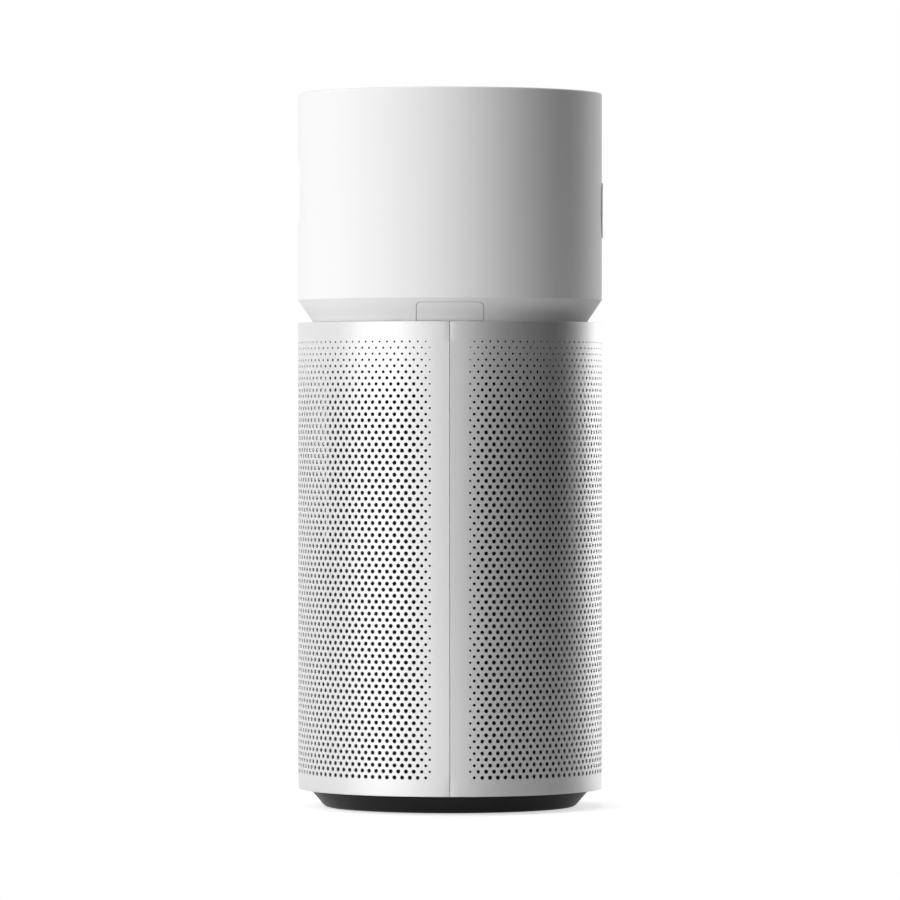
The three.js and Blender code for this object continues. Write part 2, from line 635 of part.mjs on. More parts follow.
// ---------------------------------------------------------------- internal lead
const loomRoute = new THREE.CatmullRomCurve3(
  [
    [36.5, 84, 12],
    [70, 72, 12.4],
    [100, 42, 13],
    [121, 8, 12],
    [121, -4, 12.4],
    [126, LOOM_Y, 15],
    [129.6, LOOM_Y, 20.4],
    [131, LOOM_Y, 28],
    [134.5, LOOM_Y, 40],
    [138.4, LOOM_Y, 56],
    [138.4, LOOM_Y, 240],
    [138.4, LOOM_Y, 425],
    [136.6, LOOM_Y, 448],
    [131, -11, 463],
    [127, -22, 465.4],
    [122.8, -36, 465.6],
    [120.4, -47, 465.8],
    [LOOM_PASS[0], LOOM_PASS[1] + 0.4, 470],
    [...LOOM_PASS, 476],
    [...LOOM_PASS, 484],
    [120.4, -50, 496],
    [126, -38, 508],
    [132, -26, 515],
    [134.2, -22, 518.4],
  ].map(([x, y, z]) => new THREE.Vector3(x, y, z)),
);
const LOOM_STEPS = 46;
const LOOM_SIDES = 8;
add("wiring_loom", swept(loomRoute, LOOM_R, LOOM_STEPS, LOOM_SIDES), RUBBER);

// ---------------------------------------------------------------- filter cartridge
const CAP_H = 7;
const SEAL = { r: [84, 100], height: 8 };
const MEDIA_Z = [FILTER_Z0 + CAP_H + CLEAR, FILTER_Z1 - SEAL.height - CAP_H - 2 * CLEAR];
const TOP_CAP_Z0 = MEDIA_Z[1] + CLEAR;
const PLEATS = { count: 48, r: [FILTER_CORE_R + 5, FILTER_R - 5.4], halfSheet: 1 };
const pleatLine = (offset) =>
  Array.from({ length: 2 * PLEATS.count }, (_, i) => {
    const angle = (Math.PI * i) / PLEATS.count;
    const radius = PLEATS.r[i % 2] + offset;
    return new THREE.Vector2(radius * Math.cos(angle), radius * Math.sin(angle));
  });
const media = new THREE.Shape(pleatLine(PLEATS.halfSheet));
media.holes.push(new THREE.Path(pleatLine(-PLEATS.halfSheet)));
add("filter_media", extruded(media, MEDIA_Z[1] - MEDIA_Z[0]).translate(0, 0, MEDIA_Z[0]), PAPER);
add("filter_prefilter", ring(FILTER_R - 3.6, FILTER_R - 2, ...MEDIA_Z), MESH);
add("filter_core", ring(FILTER_CORE_R, FILTER_CORE_R + 1.6, ...MEDIA_Z), INNER);
add("filter_bottom_cap", disc(FILTER_R, FILTER_Z0, FILTER_Z0 + CAP_H), BLACK);
add("filter_top_cap", ring(FILTER_CORE_R, FILTER_R, TOP_CAP_Z0, TOP_CAP_Z0 + CAP_H), BLACK);
add("filter_seal", ring(...SEAL.r, FILTER_Z1 - SEAL.height, FILTER_Z1 - 0.1), RUBBER);

// The pull tab is a flat loop on the cartridge's rear, just under its top cap.
const PULL = { width: 46, height: 70, corner: 6, thickness: 2.4, hole: [30, 26, 5], out: 3.2, drop: 36 };
const pullShape = roundedRectangle(PULL.width, PULL.height, PULL.corner);
pullShape.holes.push(roundedRectangle(...PULL.hole));
const pullTab = extruded(pullShape, PULL.thickness).rotateX(Math.PI / 2);
add("filter_pull_tab", pullTab.translate(0, FILTER_R + PULL.out, MEDIA_Z[1] - PULL.drop), INNER);

export default group;
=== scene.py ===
"""A round tower air purifier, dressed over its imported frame.

A perforated lower body holds the filter, and a plain drum above it holds the fan. Lengths in the
classes are millimetres in the frame's own axes: +Z up, the display at -Y, the sensor at +Y and the
two panel seams at +X and -X. Meshes are written in metres.
"""

import json
import logging
import math
from dataclasses import dataclass, field
from enum import Enum
from typing import Sequence

import bmesh
import bpy
import numpy as np
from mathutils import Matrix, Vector


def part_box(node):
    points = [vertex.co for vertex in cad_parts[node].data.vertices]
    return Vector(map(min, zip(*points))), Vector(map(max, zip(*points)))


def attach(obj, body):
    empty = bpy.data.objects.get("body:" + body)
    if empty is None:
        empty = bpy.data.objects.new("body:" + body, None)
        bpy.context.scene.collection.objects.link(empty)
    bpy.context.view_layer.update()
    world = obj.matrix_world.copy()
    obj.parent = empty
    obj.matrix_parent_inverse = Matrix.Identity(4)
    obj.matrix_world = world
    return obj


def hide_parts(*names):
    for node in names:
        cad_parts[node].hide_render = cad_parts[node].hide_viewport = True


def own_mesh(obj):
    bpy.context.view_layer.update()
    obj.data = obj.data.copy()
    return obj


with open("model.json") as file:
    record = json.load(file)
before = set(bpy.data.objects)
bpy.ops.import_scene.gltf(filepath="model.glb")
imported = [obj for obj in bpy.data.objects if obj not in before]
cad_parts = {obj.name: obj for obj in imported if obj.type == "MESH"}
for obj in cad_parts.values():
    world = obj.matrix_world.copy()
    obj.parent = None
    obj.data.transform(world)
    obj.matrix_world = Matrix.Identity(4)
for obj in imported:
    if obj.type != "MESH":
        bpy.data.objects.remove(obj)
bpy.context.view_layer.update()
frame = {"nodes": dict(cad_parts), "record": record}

LOG = logging.getLogger("air_purifier")
MM = 0.001
TURN = 2 * math.pi
SHARP_DEGREES = 34.0

Array = np.ndarray
Shader = bpy.types.ShaderNodeTree


# ------------------------------------------------------------------ places from the frame
@dataclass(frozen=True)
class Extent:
    """A CAD node's box, in millimetres."""

    low: Vector
    high: Vector

    @classmethod
    def of(cls, node: str) -> "Extent":
        """Read a node's box from the frame.

        Args:
            node: The CAD node's name.

        Returns:
            The node's extent in millimetres.
        """
        low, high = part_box(node)
        return cls(low / MM, high / MM)

    @property
    def radius(self) -> float:
        """Half the box's width along X."""
        return (self.high.x - self.low.x) / 2

    @property
    def centre(self) -> Vector:
        """The middle of the box."""
        return (self.low + self.high) / 2

    @property
    def bottom(self) -> float:
        """The lowest height."""
        return self.low.z

    @property
    def top(self) -> float:
        """The highest height."""
        return self.high.z


# ------------------------------------------------------------------ surfaces
@dataclass
class Surface:
    """Points in millimetres, and polygons as arrays of point numbers, one array per side count."""

    points: Array
    faces: list[Array]

    def __add__(self, other: "Surface") -> "Surface":
        """Join two surfaces; the second's point numbers move up past the first's points."""
        shift = len(self.points)
        return Surface(
            np.vstack([self.points, other.points]),
            self.faces + [f + shift for f in other.faces],
        )

    def turned(self, angle: float) -> "Surface":
        """Turn about Z: each point's X and Y are multiplied by the rotation by angle."""
        c, s = math.cos(angle), math.sin(angle)
        return Surface(self.points @ np.array([[c, s, 0], [-s, c, 0], [0, 0, 1]]), self.faces)

    def moved(self, x: float = 0, y: float = 0, z: float = 0) -> "Surface":
        """Add an offset to every point."""
        return Surface(self.points + np.array([x, y, z]), self.faces)

    def facing_front(self) -> "Surface":
        """Turn a shape made about Z so that its +Z points to -Y: (x, y, z) becomes (x, -z, y)."""
        x, y, z = self.points.T
        return Surface(np.stack([x, -z, y], 1), self.faces)

    def flipped(self) -> "Surface":
        """Reverse every polygon, so that the surface faces the other way."""
        return Surface(self.points, [f[:, ::-1] for f in self.faces])

    def mirrored(self) -> "Surface":
        """Reflect in the plane x = 0 and reverse the polygons."""
        return Surface(self.points * np.array([-1, 1, 1]), [f[:, ::-1] for f in self.faces])


def joined(parts: Sequence[Surface]) -> Surface:
    """Join any number of surfaces into one."""
    total = parts[0]
    for part in parts[1:]:
        total = total + part
    return total


def quads(rows: int, columns: int, wrap_rows: bool, wrap_columns: bool) -> Array:
    """Number the four corners of every cell of a grid of points.

    Cell (i, j) joins points (i, j), (i, j+1), (i+1, j+1) and (i+1, j), so that it faces along
    the column direction crossed with the row direction.

    Args:
        rows: The number of rows of points.
        columns: The number of points in a row.
        wrap_rows: True if the last row joins the first.
        wrap_columns: True if the last column joins the first.

    Returns:
        An array of four point numbers per cell.
    """
    i = np.arange(rows if wrap_rows else rows - 1)[:, None]
    j = np.arange(columns if wrap_columns else columns - 1)[None, :]
    i1, j1 = (i + 1) % rows, (j + 1) % columns
    cells = np.stack(
        np.broadcast_arrays(i * columns + j, i * columns + j1, i1 * columns + j1, i1 * columns + j), -1
    )
    return cells.reshape(-1, 4)


def softened(corners: Sequence[Sequence[float]], cut: float = 0.6, steps: int = 4) -> Array:
    """Round the corners of a profile of (radius, height) pairs.

    Each corner P becomes the parabola (1-s)^2 A + 2 s (1-s) P + s^2 B, where A and B lie on the
    two sides at the distance cut from P. A holding point beyond A and B keeps the sides straight.
    A corner on the axis stays sharp.

    Args:
        corners: The profile, anticlockwise.
        cut: How far the rounding reaches along each side.
        steps: Points on each arc.

    Returns:
        The rounded profile as an array of pairs.
    """
    p = np.asarray(corners, float)
    back = np.roll(p, 1, axis=0) - p
    ahead = np.roll(p, -1, axis=0) - p
    back_length = np.linalg.norm(back, axis=1, keepdims=True)
    ahead_length = np.linalg.norm(ahead, axis=1, keepdims=True)
    reach = np.minimum(cut, 0.4 * np.minimum(back_length, ahead_length))
    reach[p[:, 0] < 1e-6] = 0
    a = p + back / back_length * reach
    b = p + ahead / ahead_length * reach
    s = np.linspace(0, 1, steps)[None, :, None]
    arc = (1 - s) ** 2 * a[:, None] + 2 * s * (1 - s) * p[:, None] + s**2 * b[:, None]
    hold = 0.25
    first = a[:, None] + (a - p)[:, None] * hold
    last = b[:, None] + (b - p)[:, None] * hold
    return np.concatenate([first, arc, last], axis=1).reshape(-1, 2)


def revolved(profile: Array, segments: int = 192) -> Surface:
    """Carry a profile round the Z axis: x = r cos a, y = r sin a, z = h.

    Args:
        profile: Anticlockwise (radius, height) pairs, from axis to axis or closed on itself.
        segments: Steps round the axis.

    Returns:
        The surface of revolution.
    """
    profile = np.asarray(profile, float)
    a = np.arange(segments) * TURN / segments
    r, h = profile[:, :1], profile[:, 1:]
    points = np.stack([r * np.cos(a), r * np.sin(a), h + 0 * a], -1).reshape(-1, 3)
    closed = profile[0, 0] > 1e-6
    return Surface(points, [quads(len(profile), segments, closed, True)])


def lathe(corners: Sequence[Sequence[float]], cut: float = 0.6, segments: int = 192) -> Surface:
    """Revolve a profile after rounding its corners by cut."""
    return revolved(softened(corners, cut), segments)


def block(low: Sequence[float], high: Sequence[float]) -> Surface:
    """Make a box: its eight corners are the combinations of low and high, with six outward quads."""
    pick = np.array([[i >> 2 & 1, i >> 1 & 1, i & 1] for i in range(8)])
    points = np.where(pick, np.asarray(high, float), np.asarray(low, float))
    faces = np.array([[0, 1, 3, 2], [4, 6, 7, 5], [0, 4, 5, 1], [2, 3, 7, 6], [0, 2, 6, 4], [1, 5, 7, 3]])
    return Surface(points, [faces])


def prism(outline: Array, low: float, high: float) -> Surface:
    """Raise an anticlockwise outline in the XY plane from low to high, with a polygon at each end."""
    count = len(outline)
    rise = np.array([low, high])
    points = np.concatenate([np.column_stack([outline, np.full(count, h)]) for h in rise])
    number = np.arange(count)
    return Surface(points, [quads(2, count, False, True), number[None, ::-1], number[None, :] + count])


def swept(path: Array, across: Array, section: Array) -> Surface:
    """Carry a section along a path, with a polygon at each end.

    Point (i, k) is path[i] + across[i] * section[k, 0] + Z * section[k, 1].

    Args:
        path: The points of the path.
        across: A sideways unit vector at each of them.
        section: (sideways, upward) pairs.

    Returns:
        The closed surface of the carried section.
    """
    up = np.array([0, 0, 1.0])
    points = path[:, None] + across[:, None] * section[None, :, :1] + up * section[None, :, 1:]
    count = len(section)
    number = np.arange(count)
    caps = [number[None, ::-1], number[None, :] + count * (len(path) - 1)]
    return Surface(points.reshape(-1, 3), [quads(len(path), count, False, True)] + caps)


# ------------------------------------------------------------------ shader node groups
def new_group(name: str, inputs: dict[str, float], outputs: Sequence[str]) -> Shader:
    """Start a shader node group with number inputs and number outputs.

    Args:
        name: The group's name.
        inputs: Each input's name and default value.
        outputs: Each output's name.

    Returns:
        The empty node tree.
    """
    tree = bpy.data.node_groups.new(name, "ShaderNodeTree")
    for label, value in inputs.items():
        socket = tree.interface.new_socket(name=label, in_out="INPUT", socket_type="NodeSocketFloat")
        socket.default_value = value
    for label in outputs:
        tree.interface.new_socket(name=label, in_out="OUTPUT", socket_type="NodeSocketFloat")
    return tree


def noise(tree: Shader, detail: float, roughness: float = 0.5) -> bpy.types.Node:
    """Add a noise texture node with the given detail and roughness."""
    node = tree.nodes.new("ShaderNodeTexNoise")
    node.inputs["Detail"].default_value = detail
    node.inputs["Roughness"].default_value = roughness
    return node


def arithmetic(tree: Shader, operation: str, first: object, second: object) -> bpy.types.NodeSocket:
    """Add a math node fed by two sockets or numbers.

    Args:
        tree: The node tree to add to.
        operation: The math node's operation.
        first: A socket or a number.
        second: A socket or a number.

    Returns:
        The node's output socket.
    """
    node = tree.nodes.new("ShaderNodeMath")
    node.operation = operation
    for socket, value in zip(node.inputs, (first, second)):
        if isinstance(value, bpy.types.NodeSocket):
            tree.links.new(value, socket)
        else:
            socket.default_value = float(value)
    return node.outputs[0]


def grain_group() -> Shader:
    """Build the moulded grain: a fine noise for height, and a broad noise for tone."""
    tree = new_group("moulded_grain", {"Fine Scale": 1500.0, "Broad Scale": 9.0}, ["Height", "Tone"])
    enter, leave = tree.nodes.new("NodeGroupInput"), tree.nodes.new("NodeGroupOutput")
    place = tree.nodes.new("ShaderNodeTexCoord").outputs["Object"]
    for label, socket, detail in (("Height", "Fine Scale", 2.0), ("Tone", "Broad Scale", 4.0)):
        texture = noise(tree, detail)
        tree.links.new(place, texture.inputs["Vector"])
        tree.links.new(enter.outputs[socket], texture.inputs["Scale"])
        tree.links.new(texture.outputs["Fac"], leave.inputs[label])
    return tree


def brushed_group() -> Shader:
    """Build turned metal: noise stretched round the Z axis, by reading (distance from axis, height)."""
    tree = new_group("turned_lines", {"Line Scale": 900.0}, ["Height", "Tone"])
    enter, leave = tree.nodes.new("NodeGroupInput"), tree.nodes.new("NodeGroupOutput")
    place = tree.nodes.new("ShaderNodeTexCoord").outputs["Object"]
    split, gather = tree.nodes.new("ShaderNodeSeparateXYZ"), tree.nodes.new("ShaderNodeCombineXYZ")
    tree.links.new(place, split.inputs[0])
    squares = [arithmetic(tree, "POWER", arithmetic(tree, "ABSOLUTE", split.outputs[i], 0), 2) for i in (0, 1)]
    distance = arithmetic(tree, "SQRT", arithmetic(tree, "ADD", *squares), 0)
    tree.links.new(distance, gather.inputs[0])
    tree.links.new(split.outputs[2], gather.inputs[1])
    for label, factor in (("Height", 1.0), ("Tone", 0.12)):
        texture = noise(tree, 3.0)
        tree.links.new(gather.outputs[0], texture.inputs["Vector"])
        tree.links.new(arithmetic(tree, "MULTIPLY", enter.outputs[0], factor), texture.inputs["Scale"])
        tree.links.new(texture.outputs["Fac"], leave.inputs[label])
    return tree


def weave_group() -> Shader:
    """Build a net: two sets of waves, round the axis and up it, whose higher one is the thread."""
    tree = new_group("net_weave", {"Threads Round": 620.0, "Threads Up": 5200.0}, ["Height", "Tone"])
    enter, leave = tree.nodes.new("NodeGroupInput"), tree.nodes.new("NodeGroupOutput")
    place = tree.nodes.new("ShaderNodeTexCoord").outputs["Object"]
    split = tree.nodes.new("ShaderNodeSeparateXYZ")
    tree.links.new(place, split.inputs[0])
    angle = arithmetic(tree, "ARCTAN2", split.outputs[1], split.outputs[0])
    round_wave = arithmetic(tree, "SINE", arithmetic(tree, "MULTIPLY", angle, enter.outputs[0]), 0)
    up_wave = arithmetic(tree, "SINE", arithmetic(tree, "MULTIPLY", split.outputs[2], enter.outputs[1]), 0)
    thread = arithmetic(tree, "MAXIMUM", round_wave, up_wave)
    tree.links.new(thread, leave.inputs["Height"])
    tree.links.new(arithmetic(tree, "MULTIPLY_ADD", thread, 0.5), leave.inputs["Tone"])
    return tree


def board_group() -> Shader:
    """Build a circuit board: square cells at two scales stand for tracks and fields of copper."""
    tree = new_group("board_tracks", {"Track Scale": 260.0}, ["Height", "Tone"])
    enter, leave = tree.nodes.new("NodeGroupInput"), tree.nodes.new("NodeGroupOutput")
    place = tree.nodes.new("ShaderNodeTexCoord").outputs["Object"]
    masks = []
    for factor in (1.0, 0.34):
        texture = tree.nodes.new("ShaderNodeTexVoronoi")
        texture.distance = "CHEBYCHEV"
        texture.feature = "F1"
        tree.links.new(place, texture.inputs["Vector"])
        tree.links.new(arithmetic(tree, "MULTIPLY", enter.outputs[0], factor), texture.inputs["Scale"])
        masks.append(arithmetic(tree, "GREATER_THAN", texture.outputs["Distance"], 0.32))
    tone = arithmetic(tree, "MAXIMUM", *masks)
    tree.links.new(tone, leave.inputs["Tone"])
    tree.links.new(tone, leave.inputs["Height"])
    return tree


def dial_group() -> Shader:
    """Build a printed ring: full where the distance from an axis along Y is close to its radius."""
    tree = new_group("printed_ring", {"Height of Axis": 0.605, "Ring Radius": 0.0225, "Half Width": 0.0004}, ["Height", "Tone"])
    enter, leave = tree.nodes.new("NodeGroupInput"), tree.nodes.new("NodeGroupOutput")
    split = tree.nodes.new("ShaderNodeSeparateXYZ")
    tree.links.new(tree.nodes.new("ShaderNodeTexCoord").outputs["Object"], split.inputs[0])
    rise = arithmetic(tree, "SUBTRACT", split.outputs[2], enter.outputs[0])
    squares = [arithmetic(tree, "MULTIPLY", side, side) for side in (split.outputs[0], rise)]
    distance = arithmetic(tree, "SQRT", arithmetic(tree, "ADD", *squares), 0)
    off = arithmetic(tree, "ABSOLUTE", arithmetic(tree, "SUBTRACT", distance, enter.outputs[1]), 0)
    ring = arithmetic(tree, "LESS_THAN", off, enter.outputs[2])
    tree.links.new(ring, leave.inputs["Tone"])
    tree.links.new(ring, leave.inputs["Height"])
    return tree


def dust_group() -> Shader:
    """Build settled dust: the share of the surface that faces up, broken by a mottled noise."""
    tree = new_group("settled_dust", {"Amount": 0.3}, ["Mask"])
    enter, leave = tree.nodes.new("NodeGroupInput"), tree.nodes.new("NodeGroupOutput")
    split = tree.nodes.new("ShaderNodeSeparateXYZ")
    tree.links.new(tree.nodes.new("ShaderNodeNewGeometry").outputs["Normal"], split.inputs[0])
    texture = noise(tree, 5.0, 0.65)
    texture.inputs["Scale"].default_value = 60.0
    tree.links.new(tree.nodes.new("ShaderNodeTexCoord").outputs["Object"], texture.inputs["Vector"])
    upward = arithmetic(tree, "MAXIMUM", split.outputs[2], 0.0)
    spotted = arithmetic(tree, "MULTIPLY", upward, texture.outputs["Fac"])
    tree.links.new(arithmetic(tree, "MULTIPLY", spotted, enter.outputs[0]), leave.inputs["Mask"])
    return tree


class Pattern(Enum):
    """The fine structure that a finish takes its height and tone from."""

    GRAIN = "grain"
    TURNED = "turned"
    NET = "net"
    BOARD = "board"
    DIAL = "dial"


_GROUPS: dict[object, Shader] = {}


def shared_group(key: object) -> Shader:
    """Build a node group the first time it is asked for, and return it from then on."""
    makers = {
        Pattern.GRAIN: grain_group,
        Pattern.TURNED: brushed_group,
        Pattern.NET: weave_group,
        Pattern.BOARD: board_group,
        Pattern.DIAL: dial_group,
        "dust": dust_group,
    }
    if key not in _GROUPS:
        _GROUPS[key] = makers[key]()
    return _GROUPS[key]


# ------------------------------------------------------------------ finishes
@dataclass(frozen=True)
class Finish:
    """One surface finish: two tones that the pattern mixes, with gloss and relief."""

    name: str
    slot: str
    tone: tuple[float, float, float]
    second_tone: tuple[float, float, float]
    roughness: float
    roughness_swing: float = 0.06
    metallic: float = 0.0
    specular: float = 0.5
    coat: float = 0.0
    coat_roughness: float = 0.1
    sheen: float = 0.0
    pattern: Pattern = Pattern.GRAIN
    settings: tuple[tuple[str, float], ...] = ()
    relief: float = 0.15
    relief_depth: float = 0.00005
    dust: float = 0.0

    def material(self) -> bpy.types.Material:
        """Build the node material, or return the one already built.

        Returns:
            The material with the finish's name.
        """
        known = bpy.data.materials.get(self.name)
        if known:
            return known
        made = bpy.data.materials.new(self.name)
        made.use_nodes = True
        tree = made.node_tree
        shader = tree.nodes["Principled BSDF"]
        fixed = {
            "Metallic": self.metallic,
            "Specular IOR Level": self.specular,
            "Coat Weight": self.coat,
            "Coat Roughness": self.coat_roughness,
            "Sheen Weight": self.sheen,
        }
        for label, value in fixed.items():
            shader.inputs[label].default_value = value
        pattern = tree.nodes.new("ShaderNodeGroup")
        pattern.node_tree = shared_group(self.pattern)
        for label, value in self.settings:
            pattern.inputs[label].default_value = value
        self._colour(tree, shader, pattern.outputs["Tone"])
        self._gloss(tree, shader, pattern.outputs["Tone"])
        bump = tree.nodes.new("ShaderNodeBump")
        bump.inputs["Strength"].default_value = self.relief
        bump.inputs["Distance"].default_value = self.relief_depth
        tree.links.new(pattern.outputs["Height"], bump.inputs["Height"])
        tree.links.new(bump.outputs["Normal"], shader.inputs["Normal"])
        return made

    def _colour(self, tree: Shader, shader: bpy.types.Node, tone: bpy.types.NodeSocket) -> None:
        """Mix the two tones by the pattern, then lay dust over them."""
        mix = colour_mix(tree, tone, self.tone, self.second_tone)
        if self.dust > 0:
            dust = tree.nodes.new("ShaderNodeGroup")
            dust.node_tree = shared_group("dust")
            dust.inputs["Amount"].default_value = self.dust
            mix = colour_mix(tree, dust.outputs["Mask"], mix, (0.42, 0.40, 0.37))
        tree.links.new(mix, shader.inputs["Base Color"])

    def _gloss(self, tree: Shader, shader: bpy.types.Node, tone: bpy.types.NodeSocket) -> None:
        """Spread the roughness about its middle value by the pattern's tone."""
        spread = tree.nodes.new("ShaderNodeMapRange")
        spread.inputs["To Min"].default_value = max(0.02, self.roughness - self.roughness_swing)
        spread.inputs["To Max"].default_value = min(1.0, self.roughness + self.roughness_swing)
        tree.links.new(tone, spread.inputs["Value"])
        tree.links.new(spread.outputs["Result"], shader.inputs["Roughness"])


def colour_mix(tree: Shader, factor: bpy.types.NodeSocket, first: object, second: object) -> bpy.types.NodeSocket:
    """Add a colour mix node.

    Args:
        tree: The node tree to add to.
        factor: The socket that says how much of the second colour shows.
        first: A colour socket or three numbers.
        second: A colour socket or three numbers.

    Returns:
        The mixed colour's socket.
    """
    node = tree.nodes.new("ShaderNodeMix")
    node.data_type = "RGBA"
    tree.links.new(factor, node.inputs["Factor"])
    colours = [s for s in node.inputs if s.type == "RGBA"]
    for socket, value in zip(colours, (first, second)):
        if isinstance(value, bpy.types.NodeSocket):
            tree.links.new(value, socket)
        else:
            socket.default_value = (*value, 1.0)
    return next(s for s in node.outputs if s.type == "RGBA")


def grey(value: float) -> tuple[float, float, float]:
    """A neutral linear colour."""
    return (value, value, value)


FINE = (("Fine Scale", 1500.0), ("Broad Scale", 9.0))
SHELL_WHITE = Finish("shell_white", "shell_white", grey(0.83), grey(0.86), 0.38, settings=FINE, dust=0.06)
PANEL_WHITE = Finish(
    "panel_satin_white", "panel_white", grey(0.71), grey(0.735), 0.60, 0.03, metallic=0.8,
    settings=(("Fine Scale", 420.0), ("Broad Scale", 7.0)), relief=0.10,
)
INNER_GREY = Finish("inner_moulding", "inner_plastic", grey(0.42), grey(0.47), 0.5, settings=FINE, dust=0.2)
BASE_BLACK = Finish(
    "base_satin_black", "black_plastic", grey(0.006), grey(0.010), 0.24, 0.05, specular=0.3,
    settings=(("Fine Scale", 1100.0), ("Broad Scale", 14.0)), relief=0.22, dust=0.05,
)
LENS_BLACK = Finish(
    "display_lens", "display_glass", grey(0.004), grey(0.11), 0.07, 0.02, coat=0.6, coat_roughness=0.03,
    pattern=Pattern.DIAL, relief=0.02,
)
PAD_RUBBER = Finish("pad_rubber", "rubber", grey(0.02), grey(0.035), 0.8, 0.1, settings=FINE, relief=0.5, dust=0.2)
BRIGHT_STEEL = Finish(
    "bright_steel", "steel", grey(0.52), grey(0.66), 0.3, 0.1, metallic=1.0, pattern=Pattern.TURNED,
    settings=(("Line Scale", 900.0),), relief=0.12,
)
BOARD_GREEN = Finish(
    "board_green", "board", (0.012, 0.07, 0.035), (0.02, 0.13, 0.06), 0.35, 0.1, pattern=Pattern.BOARD,
    settings=(("Track Scale", 260.0),), relief=0.3,
)
FILTER_PAPER = Finish(
    "filter_paper", "filter_paper", (0.72, 0.71, 0.66), (0.80, 0.79, 0.74), 0.85,
    settings=(("Fine Scale", 700.0), ("Broad Scale", 40.0)), relief=0.6, relief_depth=0.0002,
)
FILTER_NET = Finish(
    "filter_net", "filter_net", grey(0.010), grey(0.045), 0.75, 0.1, sheen=0.2, pattern=Pattern.NET,
    relief=0.8, relief_depth=0.0003,
)
SLOT_FINISHES = {
    "shell_white": SHELL_WHITE,
    "panel_white": PANEL_WHITE,
    "inner_plastic": INNER_GREY,
    "black_plastic": BASE_BLACK,
    "display_glass": LENS_BLACK,
    "rubber": PAD_RUBBER,
    "steel": BRIGHT_STEEL,
    "board": BOARD_GREEN,
    "filter_paper": FILTER_PAPER,
    "filter_net": FILTER_NET,
}


# ------------------------------------------------------------------ pieces
def mesh_of(name: str, surface: Surface) -> bpy.types.Mesh:
    """Write a surface into a mesh in metres, weld equal points and mark its sharp edges.

    Args:
        name: The mesh's name.
        surface: Points in millimetres and polygons.

    Returns:
        The finished mesh, shaded smooth between its sharp edges.
    """
    mesh = bpy.data.meshes.new(name)
    loops = np.concatenate([f.ravel() for f in surface.faces])
    sides = np.concatenate([np.full(len(f), f.shape[1]) for f in surface.faces])
    mesh.vertices.add(len(surface.points))
    mesh.vertices.foreach_set("co", (surface.points * MM).astype(np.float32).ravel())
    mesh.loops.add(len(loops))
    mesh.loops.foreach_set("vertex_index", loops.astype(np.int32))
    mesh.polygons.add(len(sides))
    mesh.polygons.foreach_set("loop_start", (np.cumsum(sides) - sides).astype(np.int32))
    mesh.update(calc_edges=True)
    welded = bmesh.new()
    welded.from_mesh(mesh)
    bmesh.ops.remove_doubles(welded, verts=welded.verts, dist=2e-7)
    bmesh.ops.dissolve_degenerate(welded, edges=welded.edges, dist=1e-8)
    welded.to_mesh(mesh)
    welded.free()
    mesh.shade_smooth()
    mesh.set_sharp_from_angle(angle=math.radians(SHARP_DEGREES))
    return mesh


def add_piece(
    name: str, surface: Surface, finish: Finish, body: str, stands_for: Sequence[str] = ()
) -> bpy.types.Object:
    """Make a piece from a surface, give it its finish and let it ride on its body.

    Args:
        name: The piece's name.
        surface: Its shape.
        finish: Its finish, whose material the mesh takes.
        body: The CAD body that it rides on.
        stands_for: The CAD nodes that it replaces.

    Returns:
        The new object.
    """
    piece = bpy.data.objects.new(name, mesh_of(name, surface))
    bpy.context.scene.collection.objects.link(piece)
    piece.data.materials.append(finish.material())
    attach(piece, body)
    if stands_for:
        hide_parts(*stands_for)
    LOG.info("%s: %d faces", name, len(piece.data.polygons))
    return piece


def give_wall(piece: bpy.types.Object, thickness: float, rounding: float) -> None:
    """Thicken an open surface inwards and round its rims.

    Args:
        piece: The object whose surface is the outer skin.
        thickness: The wall in millimetres.
        rounding: The rim's rounding in millimetres.
    """
    wall = piece.modifiers.new("wall", "SOLIDIFY")
    wall.thickness = thickness * MM
    wall.offset = -1.0
    wall.use_even_offset = True
    bevel = piece.modifiers.new("rim", "BEVEL")
    bevel.width = rounding * MM
    bevel.segments = 3
    bevel.limit_method = "ANGLE"
    bevel.angle_limit = math.radians(50)
    bevel.harden_normals = True


def round_edges(piece: bpy.types.Object, width: float, segments: int = 2) -> None:
    """Round every sharp edge of a closed piece by width millimetres."""
    bevel = piece.modifiers.new("edges", "BEVEL")
    bevel.width = width * MM
    bevel.segments = segments
    bevel.limit_method = "ANGLE"
    bevel.angle_limit = math.radians(SHARP_DEGREES)
    bevel.harden_normals = True


def carve(piece: bpy.types.Object, cutter: Surface) -> None:
    """Cut a closed surface's volume out of a piece, and leave the result in its mesh."""
    tool = bpy.data.objects.new("cutter", mesh_of("cutter", cutter))
    bpy.context.scene.collection.objects.link(tool)
    cut = piece.modifiers.new("cut", "BOOLEAN")
    cut.operation = "DIFFERENCE"
    cut.solver = "EXACT"
    cut.object = tool
    graph = bpy.context.evaluated_depsgraph_get()
    result = bpy.data.meshes.new_from_object(piece.evaluated_get(graph), depsgraph=graph)
    piece.modifiers.remove(cut)
    old, piece.data = piece.data, result
    bpy.data.meshes.remove(old)
    bpy.data.objects.remove(tool)
    result.shade_smooth()
    result.set_sharp_from_angle(angle=math.radians(SHARP_DEGREES))


